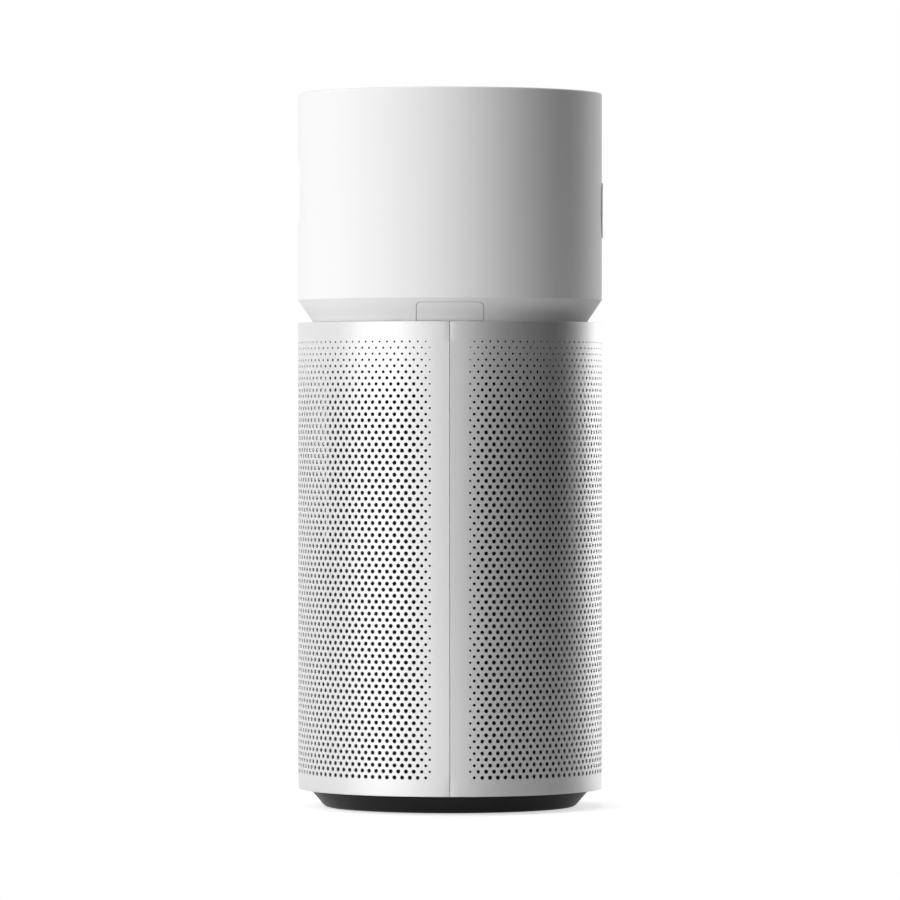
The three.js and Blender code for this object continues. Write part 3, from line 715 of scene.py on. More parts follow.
# ------------------------------------------------------------------ base
@dataclass
class Base:
    """The black bowl under the body, its rubber pads and its screws."""

    box: Extent = field(default_factory=lambda: Extent.of("base_pan"))
    foot_radius: float = 125.0
    foot_round: float = 2.2
    floor: float = 4.5
    wall: float = 3.7
    pad_gap: float = 0.4
    head_radius: float = 4.5
    inlet_half_width: float = 11.4
    inlet_from: float = 110.0

    def build(self) -> None:
        """Make the bowl, cut its pockets, and set the pads and screws in them."""
        low, high, rim = self.box.bottom, self.box.top, self.box.radius
        floor = low + self.floor
        profile = [
            (0, low),
            (self.foot_radius - self.foot_round, low),
            (self.foot_radius, low + 1.6),
            (rim, high - 1.4),
            (rim, high),
            (rim - self.wall, high),
            (self.foot_radius - 4, floor),
            (0, floor),
        ]
        pan = add_piece("base_bowl", lathe(profile, 0.9), BASE_BLACK, "housing", ["base_pan"])
        pads = [Extent.of(f"foot_pad_{i}") for i in range(1, 5)]
        screws = [Extent.of(f"base_screw_{i}") for i in range(1, 5)]
        cutters = [self._plug(pad.centre, pad.radius + self.pad_gap, pad.top + self.pad_gap) for pad in pads]
        cutters += [self._plug(screw.centre, self.head_radius, 3.0) for screw in screws]
        half = self.inlet_half_width
        cutters.append(block([-half, self.inlet_from, floor + 0.1], [half, rim + 9, high + 9]))
        carve(pan, joined(cutters))
        for i, (pad, screw) in enumerate(zip(pads, screws), 1):
            self._pad(i, pad)
            self._screw(i, screw)

    def _plug(self, centre: Vector, radius: float, top: float) -> Surface:
        """Make a round cutter from below the floor up to a height."""
        return revolved([(0, -5), (radius, -5), (radius, top), (0, top)], 48).moved(centre.x, centre.y)

    def _pad(self, number: int, box: Extent) -> None:
        """Make one ribbed rubber pad: a disc with two raised rings underneath."""
        r, top = box.radius, box.top
        profile = [
            (0, 0.7), (r * 0.42, 0.7), (r * 0.42, 0), (r * 0.62, 0), (r * 0.62, 0.7),
            (r * 0.78, 0.7), (r * 0.78, 0), (r, 0), (r, top), (0, top),
        ]
        shape = lathe(profile, 0.3, 48).moved(box.centre.x, box.centre.y)
        add_piece(f"foot_pad_round_{number}", shape, PAD_RUBBER, "housing", [f"foot_pad_{number}"])

    def _screw(self, number: int, box: Extent) -> None:
        """Make one pan-head screw with a cross recess cut into its head."""
        head, shank = box.radius, 1.8
        low, top = box.bottom, box.top
        profile = [(0, low), (head - 0.8, low), (head, low + 0.7), (head, low + 1.5), (shank, low + 1.5),
                   (shank, top - 1.2), (0, top)]
        screw = add_piece(
            f"base_screw_turned_{number}", lathe(profile, 0.25, 32), BRIGHT_STEEL, "housing",
            [f"base_screw_{number}"],
        )
        bar = [block([-2.2, -0.4, low - 1], [2.2, 0.4, low + 0.9])]
        carve(screw, joined(bar + [bar[0].turned(math.pi / 2)]))
        screw.data.transform(translation(box.centre.x, box.centre.y))


def translation(x: float, y: float) -> object:
    """A sideways shift in millimetres, as a matrix in metres."""
    from mathutils import Matrix

    return Matrix.Translation((x * MM, y * MM, 0))


# ------------------------------------------------------------------ perforated panels
@dataclass
class PerforatedPanel:
    """Half of the perforated sleeve: a sheet with staggered rows of round holes.

    Holes sit in a brick lattice of cells measured from the seam: even rows start and end 9 degrees
    from it and odd rows 7.5 degrees. They shrink near the seams and in the top rows.
    """

    node: str
    body: str
    start_angle: float
    wall: float = 1.2
    seam_gap: float = 0.2
    rows: int = 73
    pitch: float = 5.851
    first_row: float = 458.1
    column_step: float = 3.0
    even_start: float = 9.0
    odd_start: float = 7.5
    hole: float = 4.38
    rounding: float = 0.45
    seam_rounding: float = 0.35
    seam_fade: tuple[tuple[float, ...], tuple[float, ...]] = (
        (7.5, 9.0, 10.5, 12.0, 13.5, 15.0), (2.5, 3.1, 3.55, 3.95, 4.25, 4.38)
    )
    top_fade: tuple[tuple[float, ...], tuple[float, ...]] = (
        (0, 2, 4, 6, 8, 10, 12, 14, 16, 18), (2.15, 2.5, 3.0, 3.45, 3.7, 4.0, 4.15, 4.25, 4.33, 4.38)
    )

    def __post_init__(self) -> None:
        """Read the panel's box from the frame."""
        self.box = Extent.of(self.node)
        self.radius = self.box.high.x

    def _place(self, angle: Array, height: Array, depth: Array | float = 0.0) -> Array:
        """Put (angle from the seam in degrees, height, depth below the skin) on the cylinder."""
        a = np.radians(np.asarray(angle) + self.start_angle)
        r = self.radius - np.asarray(depth)
        return np.stack(np.broadcast_arrays(r * np.cos(a), r * np.sin(a), height), -1)

    def _hole_centres(self) -> tuple[Array, Array, Array]:
        """List every hole's angle, height and diameter."""
        per_row = [
            np.arange(start, 180.01 - start, self.column_step)
            for start in (self.even_start, self.odd_start)
        ]
        angle = np.concatenate([per_row[i % 2] for i in range(self.rows)])
        row = np.concatenate([np.full(len(per_row[i % 2]), i) for i in range(self.rows)])
        from_seam = np.minimum(angle, 180 - angle)
        by_seam = np.interp(from_seam, *self.seam_fade)
        by_row = np.interp(row, *self.top_fade)
        diameter = by_seam * by_row / self.hole
        return angle, self.first_row - row * self.pitch, diameter

    def _cells(self) -> Surface:
        """Make every cell's outer face, its hole's wall and its inner face.

        The cell's rim runs through its corners and the middles of its level sides; the hole's rim
        is centre + (d / 2)(cos t, sin t) at eight equal angles t.
        """
        angle, height, diameter = self._hole_centres()
        rim = np.array([(1, 1), (0, 1), (-1, 1), (-1, -1), (0, -1), (1, -1)])
        t = np.arange(8) * TURN / 8
        degrees = math.degrees(1 / self.radius)
        half_d = diameter[:, None] / 2
        cell_a = angle[:, None] + rim[:, 0] * self.column_step / 2
        cell_h = height[:, None] + rim[:, 1] * self.pitch / 2
        hole_a = angle[:, None] + half_d * np.cos(t) * degrees
        hole_h = height[:, None] + half_d * np.sin(t)
        loops = [self._place(cell_a, cell_h, d) for d in (0.0, self.wall)]
        loops += [self._place(hole_a, hole_h, d) for d in (0.0, self.wall)]
        points = np.concatenate(loops, axis=1)
        outside, inside, near, far = (np.arange(n) + k for n, k in ((6, 0), (6, 6), (8, 12), (8, 20)))
        four, three = [], []
        for r, h, way in ((outside, near, 1), (inside, far, -1)):
            four += [[r[i], r[i + 1], h[j + 1], h[j]][::way] for i, j in ((0, 1), (1, 2), (3, 5), (4, 6))]
            for i, j, k in ((2, 3, 4), (5, 7, 0)):
                k1 = (i + 1) % 6
                three += [t[::way] for t in ([r[i], r[k1], h[k]], [r[i], h[k], h[j]], [r[k1], h[(k + 1) % 8], h[k]])]
        four += [[near[i], near[(i + 1) % 8], far[(i + 1) % 8], far[i]] for i in range(8)]
        shift = np.arange(len(angle))[:, None, None] * points.shape[1]
        faces = [(np.array(kind)[None] + shift).reshape(-1, len(kind[0])) for kind in (four, three)]
        return Surface(points.reshape(-1, 3), faces)

    def _edge_columns(self) -> tuple[Array, Array]:
        """The rounded edge beside the seam: each column's angle, and how far the sheet is drawn in.

        At t from 0 to a quarter turn the angle is that of gap + r (1 - cos t), and the sheet is
        drawn in by r (1 - sin t).
        """
        t = np.linspace(0, math.pi / 2, 5)
        along = self.seam_gap + self.seam_rounding * (1 - np.cos(t))
        return np.degrees(along / self.radius), self.seam_rounding * (1 - np.sin(t))

    def _side_strip(self) -> Surface:
        """Make the plain strip by the first seam: its rounded edge, and its two faces row by row."""
        angle, inset = self._edge_columns()
        level = self.first_row + self.pitch / 2 - np.arange(self.rows + 1) * self.pitch
        path_a = np.concatenate([angle[::-1], angle])
        path_d = np.concatenate([inset[::-1], self.wall - inset])
        edge = self._place(path_a[:, None], level[None, :], path_d[:, None]).reshape(-1, 3)
        strip = [Surface(edge, [quads(len(path_a), self.rows + 1, False, False)])]
        reach = self.odd_start - self.column_step / 2
        odd = np.arange(self.rows) % 2 == 1
        spans = [(angle[-1], reach / 2, odd | True), (reach / 2, reach, odd | True)]
        spans += [(reach, self.even_start - self.column_step / 2, ~odd)]
        for depth, way in ((0.0, 1), (self.wall, -1)):
            for start, end, chosen in spans:
                high, low = level[:-1][chosen], level[1:][chosen]
                heights = np.stack([low, low, high, high], 1)
                angles = np.broadcast_to([start, end, end, start], heights.shape)
                points = self._place(angles, heights, depth).reshape(-1, 3)
                strip.append(Surface(points, [np.arange(len(points)).reshape(-1, 4)[:, ::way]]))
        return joined(strip)

    def _far_side(self, strip: Surface) -> Surface:
        """Reflect a strip in the upright plane midway between the seams."""
        middle = math.radians(self.start_angle + 90)
        across = np.array([-math.sin(middle), math.cos(middle), 0])
        points = strip.points - 2 * np.outer(strip.points @ across, across)
        return Surface(points, strip.faces).flipped()

    def _lip(self, inner_height: float, edge: float) -> Surface:
        """Carry the rounded lip past one end of the holes, from the skin over the edge to the inside.

        The lip's section is a half stadium. Beside the seams it is drawn in along its own normals.

        Args:
            inner_height: The height where the lattice ends.
            edge: The panel's edge beyond it.

        Returns:
            The lip, with its two ends closed.
        """
        way = math.copysign(1.0, edge - inner_height)
        r = self.rounding
        s = np.linspace(0, math.pi / 2, 4)
        outer = np.stack([r - r * np.cos(s), edge - way * (r - r * np.sin(s))], 1)
        outer_out = np.stack([-np.cos(s), way * np.sin(s)], 1)
        hold = np.array([(0.0, inner_height), (0.0, edge - way * (r + 0.5))])
        path = np.concatenate([hold, outer])
        out = np.concatenate([np.array([(-1.0, 0.0)] * 2), outer_out])
        path = np.concatenate([path, np.stack([self.wall - path[::-1, 0], path[::-1, 1]], 1)])
        out = np.concatenate([out, np.stack([-out[::-1, 0], out[::-1, 1]], 1)])
        edge_angle, edge_inset = self._edge_columns()
        reach = self.odd_start - self.column_step / 2
        middle = np.arange(reach, 180.01 - reach, self.column_step / 2)
        first = np.concatenate([edge_angle, [reach / 2]])
        angle = np.concatenate([first, middle, 180 - first[::-1]])
        inset = np.zeros(len(angle))
        inset[: len(edge_inset)] = edge_inset
        inset[-len(edge_inset):] = edge_inset[::-1]
        section = path[:, None, :] - out[:, None, :] * inset[None, :, None]
        points = self._place(angle[None, :], section[..., 1], section[..., 0])
        number = np.arange(len(path) * len(angle)).reshape(len(path), len(angle))
        faces = [quads(*number.shape, False, False), number[None, :, 0], number[None, ::-1, -1]]
        lip = Surface(points.reshape(-1, 3), faces)
        return lip if way > 0 else lip.flipped()

    def surface(self) -> Surface:
        """Join the cells, the two side strips and the two lips."""
        top = self.first_row + self.pitch / 2
        low = top - self.rows * self.pitch
        strip = self._side_strip()
        lips = [self._lip(top, self.box.top), self._lip(low, self.box.bottom)]
        return joined([self._cells(), strip, self._far_side(strip), *lips])

    def build(self, extra: Sequence[Surface] = ()) -> None:
        """Make the panel, with any lugs that stand on its inside."""
        add_piece(f"{self.node}_sheet", joined([self.surface(), *extra]), PANEL_WHITE, self.body, [self.node])


@dataclass
class Sleeve:
    """The two panels and the lugs on the rear one."""

    lug_x: tuple[float, float] = (141.8, 148.95)
    lug_y: tuple[float, float] = (3.0, 13.2)
    lug_z: tuple[float, float] = (456.0, 467.0)

    def build(self) -> None:
        """Make both panels."""
        PerforatedPanel("front_panel", "housing", 180.0).build()
        lug = block(*zip(self.lug_x, self.lug_y, self.lug_z))
        PerforatedPanel("rear_panel", "rear_panel", 0.0).build([lug, lug.mirrored()])


# ------------------------------------------------------------------ neck and buttons
@dataclass
class Neck:
    """The sloping ring over the sleeve, with a release button in each side over the seams."""

    box: Extent = field(default_factory=lambda: Extent.of("neck_cone"))
    waist_radius: float = 137.0
    waist_height: float = 481.0
    wall: float = 1.5
    cap_wall: float = 3.0
    window_half: float = 32.95
    window_top: float = 496.4
    window_round: float = 4.8
    button_gap: float = 0.55
    rim_rounding: float = 0.45
    flush: float = 0.25
    leg_inner: float = 130.5
    columns: int = 90

    def _radius_at(self, height: Array) -> Array:
        """The skin's radius: it grows evenly with height, through two known circles.

        Args:
            height: Heights in millimetres.

        Returns:
            The radius at each height.
        """
        share = (height - self.waist_height) / (self.box.top - self.waist_height)
        return self.waist_radius + share * (self.box.radius + self.flush - self.waist_radius)

    def _tab(self, half: float, top: float, rounding: float) -> tuple[Array, Array]:
        """The tab's outline: y across it, and the height of its edge above each y.

        The edge is flat at top, and near each side it is top - r + r cos t at y = half - r + r sin t.
        """
        t = np.linspace(0, math.pi / 2, 9)
        flat = np.linspace(-(half - rounding), half - rounding, 21)[1:-1]
        corner = half - rounding + rounding * np.sin(t)
        drop = top - rounding + rounding * np.cos(t)
        y = np.concatenate([-corner[::-1], flat, corner])
        edge = np.concatenate([drop[::-1], np.full(len(flat), top), drop])
        return y, edge

    def _lattice(self, y: Array, low: Array, high: float, rows: int) -> Array:
        """Points on the skin over each y, evenly spaced in height from low to high."""
        height = low + (high - low) * np.linspace(0, 1, rows)[:, None]
        r = self._radius_at(height)
        across = np.broadcast_to(y, height.shape)
        return np.stack([np.sqrt(r**2 - across**2), across, height], -1)

    def _shoulder(self, low: float, high: float, rows: int) -> Array:
        """Points on the skin from the window's side round to the +Y axis."""
        height = np.linspace(low, high, rows)[:, None]
        r = self._radius_at(height)
        edge = np.arcsin(self.window_half / r)
        angle = edge + (math.pi / 2 - edge) * np.linspace(0, 1, self.columns // 2)
        return np.stack([r * np.cos(angle), r * np.sin(angle), height + 0 * angle], -1)

    def skin(self) -> Surface:
        """The ring's outer skin, open where the buttons sit."""
        y, edge = self._tab(self.window_half, self.window_top, self.window_round)
        corner = self.window_top - self.window_round
        bridge = self._sheet(self._lattice(y, edge, self.box.top, 9))
        upper = self._sheet(self._shoulder(corner, self.box.top, 9))
        lower = self._sheet(self._shoulder(self.box.bottom, corner, 19))
        side = upper + lower
        half_side = Surface(side.points * np.array([1, -1, 1]), side.faces).flipped()
        quarter = joined([bridge, side, half_side])
        return quarter + quarter.turned(math.pi)

    @staticmethod
    def _sheet(grid: Array) -> Surface:
        """Turn a grid of points into an open surface facing away from the axis."""
        rows, columns, _ = grid.shape
        return Surface(grid.reshape(-1, 3), [quads(rows, columns, False, False)])

    def build(self) -> None:
        """Make the ring, the buttons and their springs."""
        ring = add_piece("neck_ring", self.skin(), SHELL_WHITE, "housing", ["neck_cone"])
        give_wall(ring, self.wall, self.rim_rounding)
        for side, turn in (("right", 0.0), ("left", math.pi)):
            self._button(side, turn)
            self._spring(side, turn)

    def _button(self, side: str, turn: float) -> None:
        """Make one button: its patch of skin with a wall, and the leg, hook and post behind it."""
        gap = self.button_gap
        node = f"release_button_{side}"
        y, edge = self._tab(self.window_half - gap, self.window_top - gap, self.window_round - gap)
        foot = np.full_like(y, self.box.bottom + gap)
        height = foot + (edge - foot) * np.linspace(0, 1, 19)[:, None]
        r = self._radius_at(height)
        grid = np.stack([np.sqrt(r**2 - y**2), np.broadcast_to(y, height.shape), height], -1)
        patch = add_piece(f"{node}_cap", self._sheet(grid).turned(turn), SHELL_WHITE, node, [node])
        give_wall(patch, self.cap_wall, self.rim_rounding)
        box = Extent.of(node)
        sign = 1 if turn == 0 else -1
        inner, collar = self.leg_inner, self.box.bottom - 0.2
        leg = block([inner, 1.0, box.bottom], [inner + 5, 19.0, collar])
        tongue = block([inner, 1.0, collar - 1], [inner + 2.3, 19.0, box.bottom + 25])
        hook = block([inner, 13.7, box.bottom], [144.0, 19.0, box.bottom + 8])
        stem = joined([leg, tongue, hook])
        stem = stem if sign > 0 else stem.mirrored()
        leg_piece = add_piece(f"{node}_leg", stem, SHELL_WHITE, node, [node])
        round_edges(leg_piece, 0.4)

    def _spring(self, side: str, turn: float) -> None:
        """Make one coil: a round wire carried along a helix whose axis lies along X."""
        node = f"button_spring_{side}"
        box = Extent.of(node)
        wire, turns, sides, steps = 0.5, 4.5, 10, 180
        radius = (box.high.z - box.low.z) / 2 - wire
        low, high = sorted((abs(box.low.x), abs(box.high.x)))
        t = np.linspace(0, 1, steps)[:, None]
        a = TURN * turns * t
        pitch = (high - low - 2 * wire) / (TURN * turns)
        along = low + wire + (high - low - 2 * wire) * t
        k = np.arange(sides) * TURN / sides
        lean = 1 / math.hypot(radius, pitch)
        out, side_way = wire * np.cos(k), wire * np.sin(k)
        ring_r = radius + out
        x = along + side_way * radius * lean
        y = ring_r * np.cos(a) + side_way * pitch * lean * np.sin(a)
        z = ring_r * np.sin(a) - side_way * pitch * lean * np.cos(a) + box.centre.z
        points = np.stack([x, y, z], -1).reshape(-1, 3)
        number = np.arange(sides)
        caps = [number[None, ::-1], number[None, :] + sides * (steps - 1)]
        coil = Surface(points, [quads(steps, sides, False, True)] + caps)
        piece = add_piece(f"{node}_coil", coil if turn == 0 else coil.turned(turn), BRIGHT_STEEL, "housing", [node])
        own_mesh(piece)


# ------------------------------------------------------------------ upper drum
@dataclass(frozen=True)
class Port:
    """An opening through the drum: its direction, height, outline and the cells it takes up."""

    angle: float
    height: float
    half_width: float
    half_height: float
    rounding: float
    cells_across: int
    cells_up: int

    def outline(self, directions: Array) -> Array:
        """The distance from the port's centre to its edge in each direction.

        The edge is a rectangle with round corners: four quarter circles joined by straight sides.
        Each side is divided into equal steps, and the distance is read from them by angle.
        """
        t = np.linspace(0, math.pi / 2, 25)
        w, h, r = self.half_width - self.rounding, self.half_height - self.rounding, self.rounding
        x = np.concatenate([w + r * np.cos(t), -w - r * np.sin(t), -w - r * np.cos(t), w + r * np.sin(t)])
        z = np.concatenate([h + r * np.sin(t), h + r * np.cos(t), -h - r * np.sin(t), -h - r * np.cos(t)])
        corner = np.stack([x, z], 1)
        share = np.linspace(0, 1, 16, endpoint=False)[:, None, None]
        x, z = (corner + (np.roll(corner, -1, axis=0) - corner) * share).reshape(-1, 2).T
        polar = np.arctan2(z, x)
        order = np.argsort(polar)
        return np.interp(directions, polar[order], np.hypot(x, z)[order], period=TURN)


@dataclass
class Drum:
    """The plain upper shell, with a round port for the display and a tall one for the sensor."""

    box: Extent = field(default_factory=lambda: Extent.of("upper_shell"))
    wall: float = 3.0
    columns: int = 240
    rows: int = 50
    top_rounding: float = 1.4
    foot_rounding: float = 0.15
    port_rounding: float = 0.3
    port_gap: float = 0.2

    def __post_init__(self) -> None:
        """Let the foot come down to the neck's top edge."""
        self.foot = Extent.of("neck_cone").top + 0.04


    def _ports(self) -> list[Port]:
        """The display's port at the front and the sensor's at the rear."""
        display, sensor = Extent.of("display_bezel"), Extent.of("sensor_cover")
        r = display.radius + self.port_gap
        half_width, half_height = sensor.radius + self.port_gap, (sensor.top - sensor.bottom) / 2 + self.port_gap
        return [
            Port(270, display.centre.z, r, r, r, 22, 22),
            Port(90, sensor.centre.z, half_width, half_height, 14 + self.port_gap, 14, 18),
        ]

    def surface(self) -> Surface:
        """The drum's closed wall: even grids outside and inside, two rims and a throat for each port."""
        angle = np.arange(self.columns) * TURN / self.columns
        height = np.linspace(self.foot + self.foot_rounding, self.box.top - self.top_rounding, self.rows + 1)
        cells = quads(len(height), self.columns, False, True).reshape(self.rows, self.columns, 4)
        keep = np.ones((self.rows, self.columns), bool)
        parts = []
        for port in self._ports():
            j0 = round(port.angle / 360 * self.columns) - port.cells_across // 2
            i0 = int(np.searchsorted(height, port.height)) - port.cells_up // 2
            j1, i1 = j0 + port.cells_across, i0 + port.cells_up
            keep[i0:i1, j0:j1] = False
            parts.append(self._throat(port, angle[j0:j1 + 1], height[i0:i1 + 1]))
        for depth in (0.0, self.wall):
            points = self._place(angle[None, :], height[:, None], depth).reshape(-1, 3)
            sheet = Surface(points, [cells[keep]])
            parts.append(sheet if depth == 0 else sheet.flipped())
        parts.append(self._rim(angle, height[-1], self.box.top, self.top_rounding))
        parts.append(self._rim(angle, height[0], self.foot, self.foot_rounding).flipped())
        return joined(parts)

    def _place(self, angle: Array, height: Array, depth: Array | float) -> Array:
        """Put (angle, height, depth below the skin) on the drum."""
        r = self.box.radius - np.asarray(depth)
        return np.stack(np.broadcast_arrays(r * np.cos(angle), r * np.sin(angle), height), -1)

    def _rim(self, angle: Array, start: float, edge: float, rounding: float) -> Surface:
        """Carry the wall over its edge: a quarter circle, a flat, and a small quarter circle inside."""
        way = math.copysign(1.0, edge - start)
        t = np.linspace(0, math.pi / 2, 6)
        inner = min(0.4, rounding)
        depth = np.concatenate([rounding * (1 - np.cos(t)), self.wall - inner * (1 - np.cos(t[::-1])), [self.wall]])
        height = np.concatenate(
            [edge - way * rounding * (1 - np.sin(t)), edge - way * inner * (1 - np.sin(t[::-1])), [start]]
        )
        points = self._place(angle[None, :], height[:, None], depth[:, None])
        return Surface(points.reshape(-1, 3), [quads(len(depth), len(angle), False, True)])

    def _throat(self, port: Port, angle: Array, height: Array) -> Surface:
        """Fill from a block of cells to the port's rounded edge, through the wall and back inside.

        Ring k lies at the share w of the way from the block's edge to the port's edge, in arc
        length and height; the rounded edge follows with its own depth.
        """
        radius = self.box.radius
        u = radius * (angle - math.radians(port.angle))
        v = height - port.height
        edge_u = np.concatenate([u[:-1], np.full(len(v) - 1, u[-1]), u[:0:-1], np.full(len(v) - 1, u[0])])
        edge_v = np.concatenate([np.full(len(u) - 1, v[0]), v[:-1], np.full(len(u) - 1, v[-1]), v[:0:-1]])
        direction = np.arctan2(edge_v, edge_u)
        reach = port.outline(direction)
        t = np.linspace(0, math.pi / 2, 4)
        r = self.port_rounding
        share = np.array([0, 0.3, 0.55, 0.78, 0.93])
        w = np.concatenate([share, np.ones(2 * len(t)), [0.9, 0]])
        beyond = np.concatenate([0 * share + r, r * (1 - np.sin(t)), r * (1 - np.sin(t[::-1])), [r, r]])
        depth = np.concatenate([0 * share, r * (1 - np.cos(t)), self.wall - r * (1 - np.cos(t[::-1])), [self.wall] * 2])
        hole = reach[None, :] + beyond[:, None]
        hole_u = radius * np.arcsin(hole * np.cos(direction) / radius)
        ring_u = (1 - w[:, None]) * edge_u + w[:, None] * hole_u
        ring_v = (1 - w[:, None]) * edge_v + w[:, None] * hole * np.sin(direction)
        points = self._place(ring_u / radius + math.radians(port.angle), ring_v + port.height, depth[:, None])
        return Surface(points.reshape(-1, 3), [quads(len(w), len(edge_u), False, True)])

    def build(self) -> None:
        """Make the shell and what sits in its ports."""
        add_piece("upper_shell_drum", self.surface(), SHELL_WHITE, "housing", ["upper_shell"])
        Display().build()
        SensorCover().build()


@dataclass
class Display:
    """The round display: a flat-faced bezel and a slightly domed black lens."""

    def build(self) -> None:
        """Make the bezel and the lens about Z, then turn them to face the front."""
        box, lens = Extent.of("display_bezel"), Extent.of("display_glass")
        face, back = -box.low.y, -box.high.y
        r = box.radius
        bezel = [(0, back), (r, back), (r, face), (lens.radius + 0.4, face), (lens.radius + 0.4, back + 2), (0, back + 2)]
        shape = lathe(bezel, 0.5, 144).facing_front().moved(z=box.centre.z)
        add_piece("display_bezel_ring", shape, SHELL_WHITE, "housing", ["display_bezel"])
        crown, edge, rear = -lens.low.y, face - 0.5, -lens.high.y
        t = np.linspace(0, math.pi / 2, 6)
        dome_r = np.linspace(lens.radius - 0.5, 0, 14)
        dome = edge + (crown - edge) * (1 - (dome_r / lens.radius) ** 2)
        corner = np.stack([lens.radius - 0.5 + 0.5 * np.cos(t), dome[0] - 0.5 + 0.5 * np.sin(t)], 1)
        profile = np.concatenate([[(0, rear), (lens.radius, rear)], corner, np.stack([dome_r, dome], 1)])
        shape = revolved(profile, 144).facing_front().moved(z=lens.centre.z)
        add_piece("display_lens_disc", shape, LENS_BLACK, "housing", ["display_glass"])


@dataclass
class SensorCover:
    """The slatted cover over the particle sensor, a little proud of the drum."""

    slats: int = 13
    pitch: float = 3.1
    slot: float = 1.5
    slot_half: float = 16.5
    rounding: float = 14.0

    def build(self) -> None:
        """Make the cover as a curved pad with a row of slots between its slats."""
        box = Extent.of("sensor_cover")
        outer, inner = box.high.y, Extent.of("upper_shell").radius - 2.4
        port = Port(90, box.centre.z, box.radius, (box.top - box.bottom) / 2, self.rounding, 0, 0)
        t = np.linspace(0, TURN, 97)[:-1]
        reach = port.outline(t)
        outline = np.stack([reach * np.cos(t), reach * np.sin(t)], 1)
        shrink = np.array([1.0, 1.0, 0.985, 0.95, 0.9, 0.75, 0.5, 0.25, 0.02])
        sink = np.array([0.0, 0.5, 0.12, 0.0, 0.0, 0.0, 0.0, 0.0, 0.0])
        radius = np.concatenate([[inner], outer - sink[1:]])
        x = shrink[:, None] * outline[:, 0]
        z = shrink[:, None] * outline[:, 1] + box.centre.z
        y = np.sqrt(radius[:, None] ** 2 - x**2)
        points = np.stack([-x, y, z], -1).reshape(-1, 3)
        rows, count = len(shrink), len(t)
        number = np.arange(count)
        shape = Surface(points, [quads(rows, count, False, True), number[None, :] + count * (rows - 1)])
        back_x = np.linspace(1, 0.02, 6)[1:, None] * outline[:, 0]
        back_z = np.linspace(1, 0.02, 6)[1:, None] * outline[:, 1] + box.centre.z
        back = np.stack([-back_x, np.sqrt(inner**2 - back_x**2), back_z], -1).reshape(-1, 3)
        first = points[:count]
        rear = Surface(np.concatenate([first, back]), [quads(6, count, False, True), number[None, :] + count * 5])
        cover = add_piece("sensor_cover_slats", shape + rear.flipped(), SHELL_WHITE, "sensor_cover", ["sensor_cover"])
        middle = box.centre.z
        offsets = (np.arange(self.slats) - (self.slats - 1) / 2) * self.pitch
        cutters = [
            block([-self.slot_half, 120, middle + z - self.slot / 2], [self.slot_half, 160, middle + z + self.slot / 2])
            for z in offsets
        ]
        carve(cover, joined(cutters))


# ------------------------------------------------------------------ top
@dataclass
class Outlet:
    """The rim inside the drum's top edge, the grille of swept vanes and the cap at its middle."""

    vanes: int = 48
    sweep: float = 0.62
    vane_width: float = 1.5

    def build(self) -> None:
        """Make the rim, the grille and the cap."""
        rim, grille, cap = (Extent.of(n) for n in ("top_rim", "outlet_grille", "outlet_cap"))
        r, g = rim.radius, grille.radius
        low, high = rim.bottom, rim.top
        profile = [
            (r - 3, high - 13.2), (r, high - 13.2), (r, high), (r - 2.2, high), (g + 2.6, high - 8.2),
            (g + 0.4, high - 9.7), (g + 0.4, low), (g + 3, low), (g + 6, high - 12.4), (r - 3, high - 5),
        ]
        add_piece("top_rim_ring", lathe(profile, 0.7), SHELL_WHITE, "housing", ["top_rim"])
        hub = cap.radius + 0.4
        rings = [
            lathe([(a, grille.bottom), (b, grille.bottom), (b, grille.top), (a, grille.top)], 0.5, 144)
            for a, b in ((hub, hub + 2), (g - 2, g))
        ]
        ties = [
            lathe([(a - 0.8, grille.bottom + 0.6), (a + 0.8, grille.bottom + 0.6), (a + 0.8, grille.top - 0.5),
                   (a - 0.8, grille.top - 0.5)], 0.4, 120)
            for a in np.linspace(hub + 2, g - 2, 5)[1:-1]
        ]
        blades = [self._vane(hub + 1, g - 1, grille).turned(TURN * k / self.vanes) for k in range(self.vanes)]
        add_piece("outlet_grille_vanes", joined(rings + ties + blades), SHELL_WHITE, "housing", ["outlet_grille"])
        c = cap.radius
        dome_r = np.linspace(c - 1, 0, 16)
        dome = cap.top - 2.4 * (dome_r / c) ** 2
        edge = np.array([(0, cap.bottom), (c, cap.bottom), (c, dome[0] - 0.9), (c - 0.3, dome[0] - 0.25)])
        profile = np.concatenate([edge, np.stack([dome_r, dome], 1)])
        add_piece("outlet_cap_dome", revolved(profile, 144), SHELL_WHITE, "housing", ["outlet_cap"])

    def _vane(self, start: float, end: float, box: Extent) -> Surface:
        """Make one vane: a thin upright section carried along r from start to end at angle sweep * share."""
        share = np.linspace(0, 1, 9)
        r = start + (end - start) * share
        a = self.sweep * share**1.3
        path = np.stack([r * np.cos(a), r * np.sin(a), 0 * r], 1)
        way = np.gradient(path, axis=0)
        way /= np.linalg.norm(way, axis=1, keepdims=True)
        across = np.stack([way[:, 1], -way[:, 0], 0 * r], 1)
        w, low, high = self.vane_width / 2, box.bottom + 0.5, box.top - 0.4
        section = np.array([(-w, low), (w, low), (w, high - 0.5), (w * 0.4, high), (-w * 0.4, high), (-w, high - 0.5)])
        return swept(path, across, section[::-1])


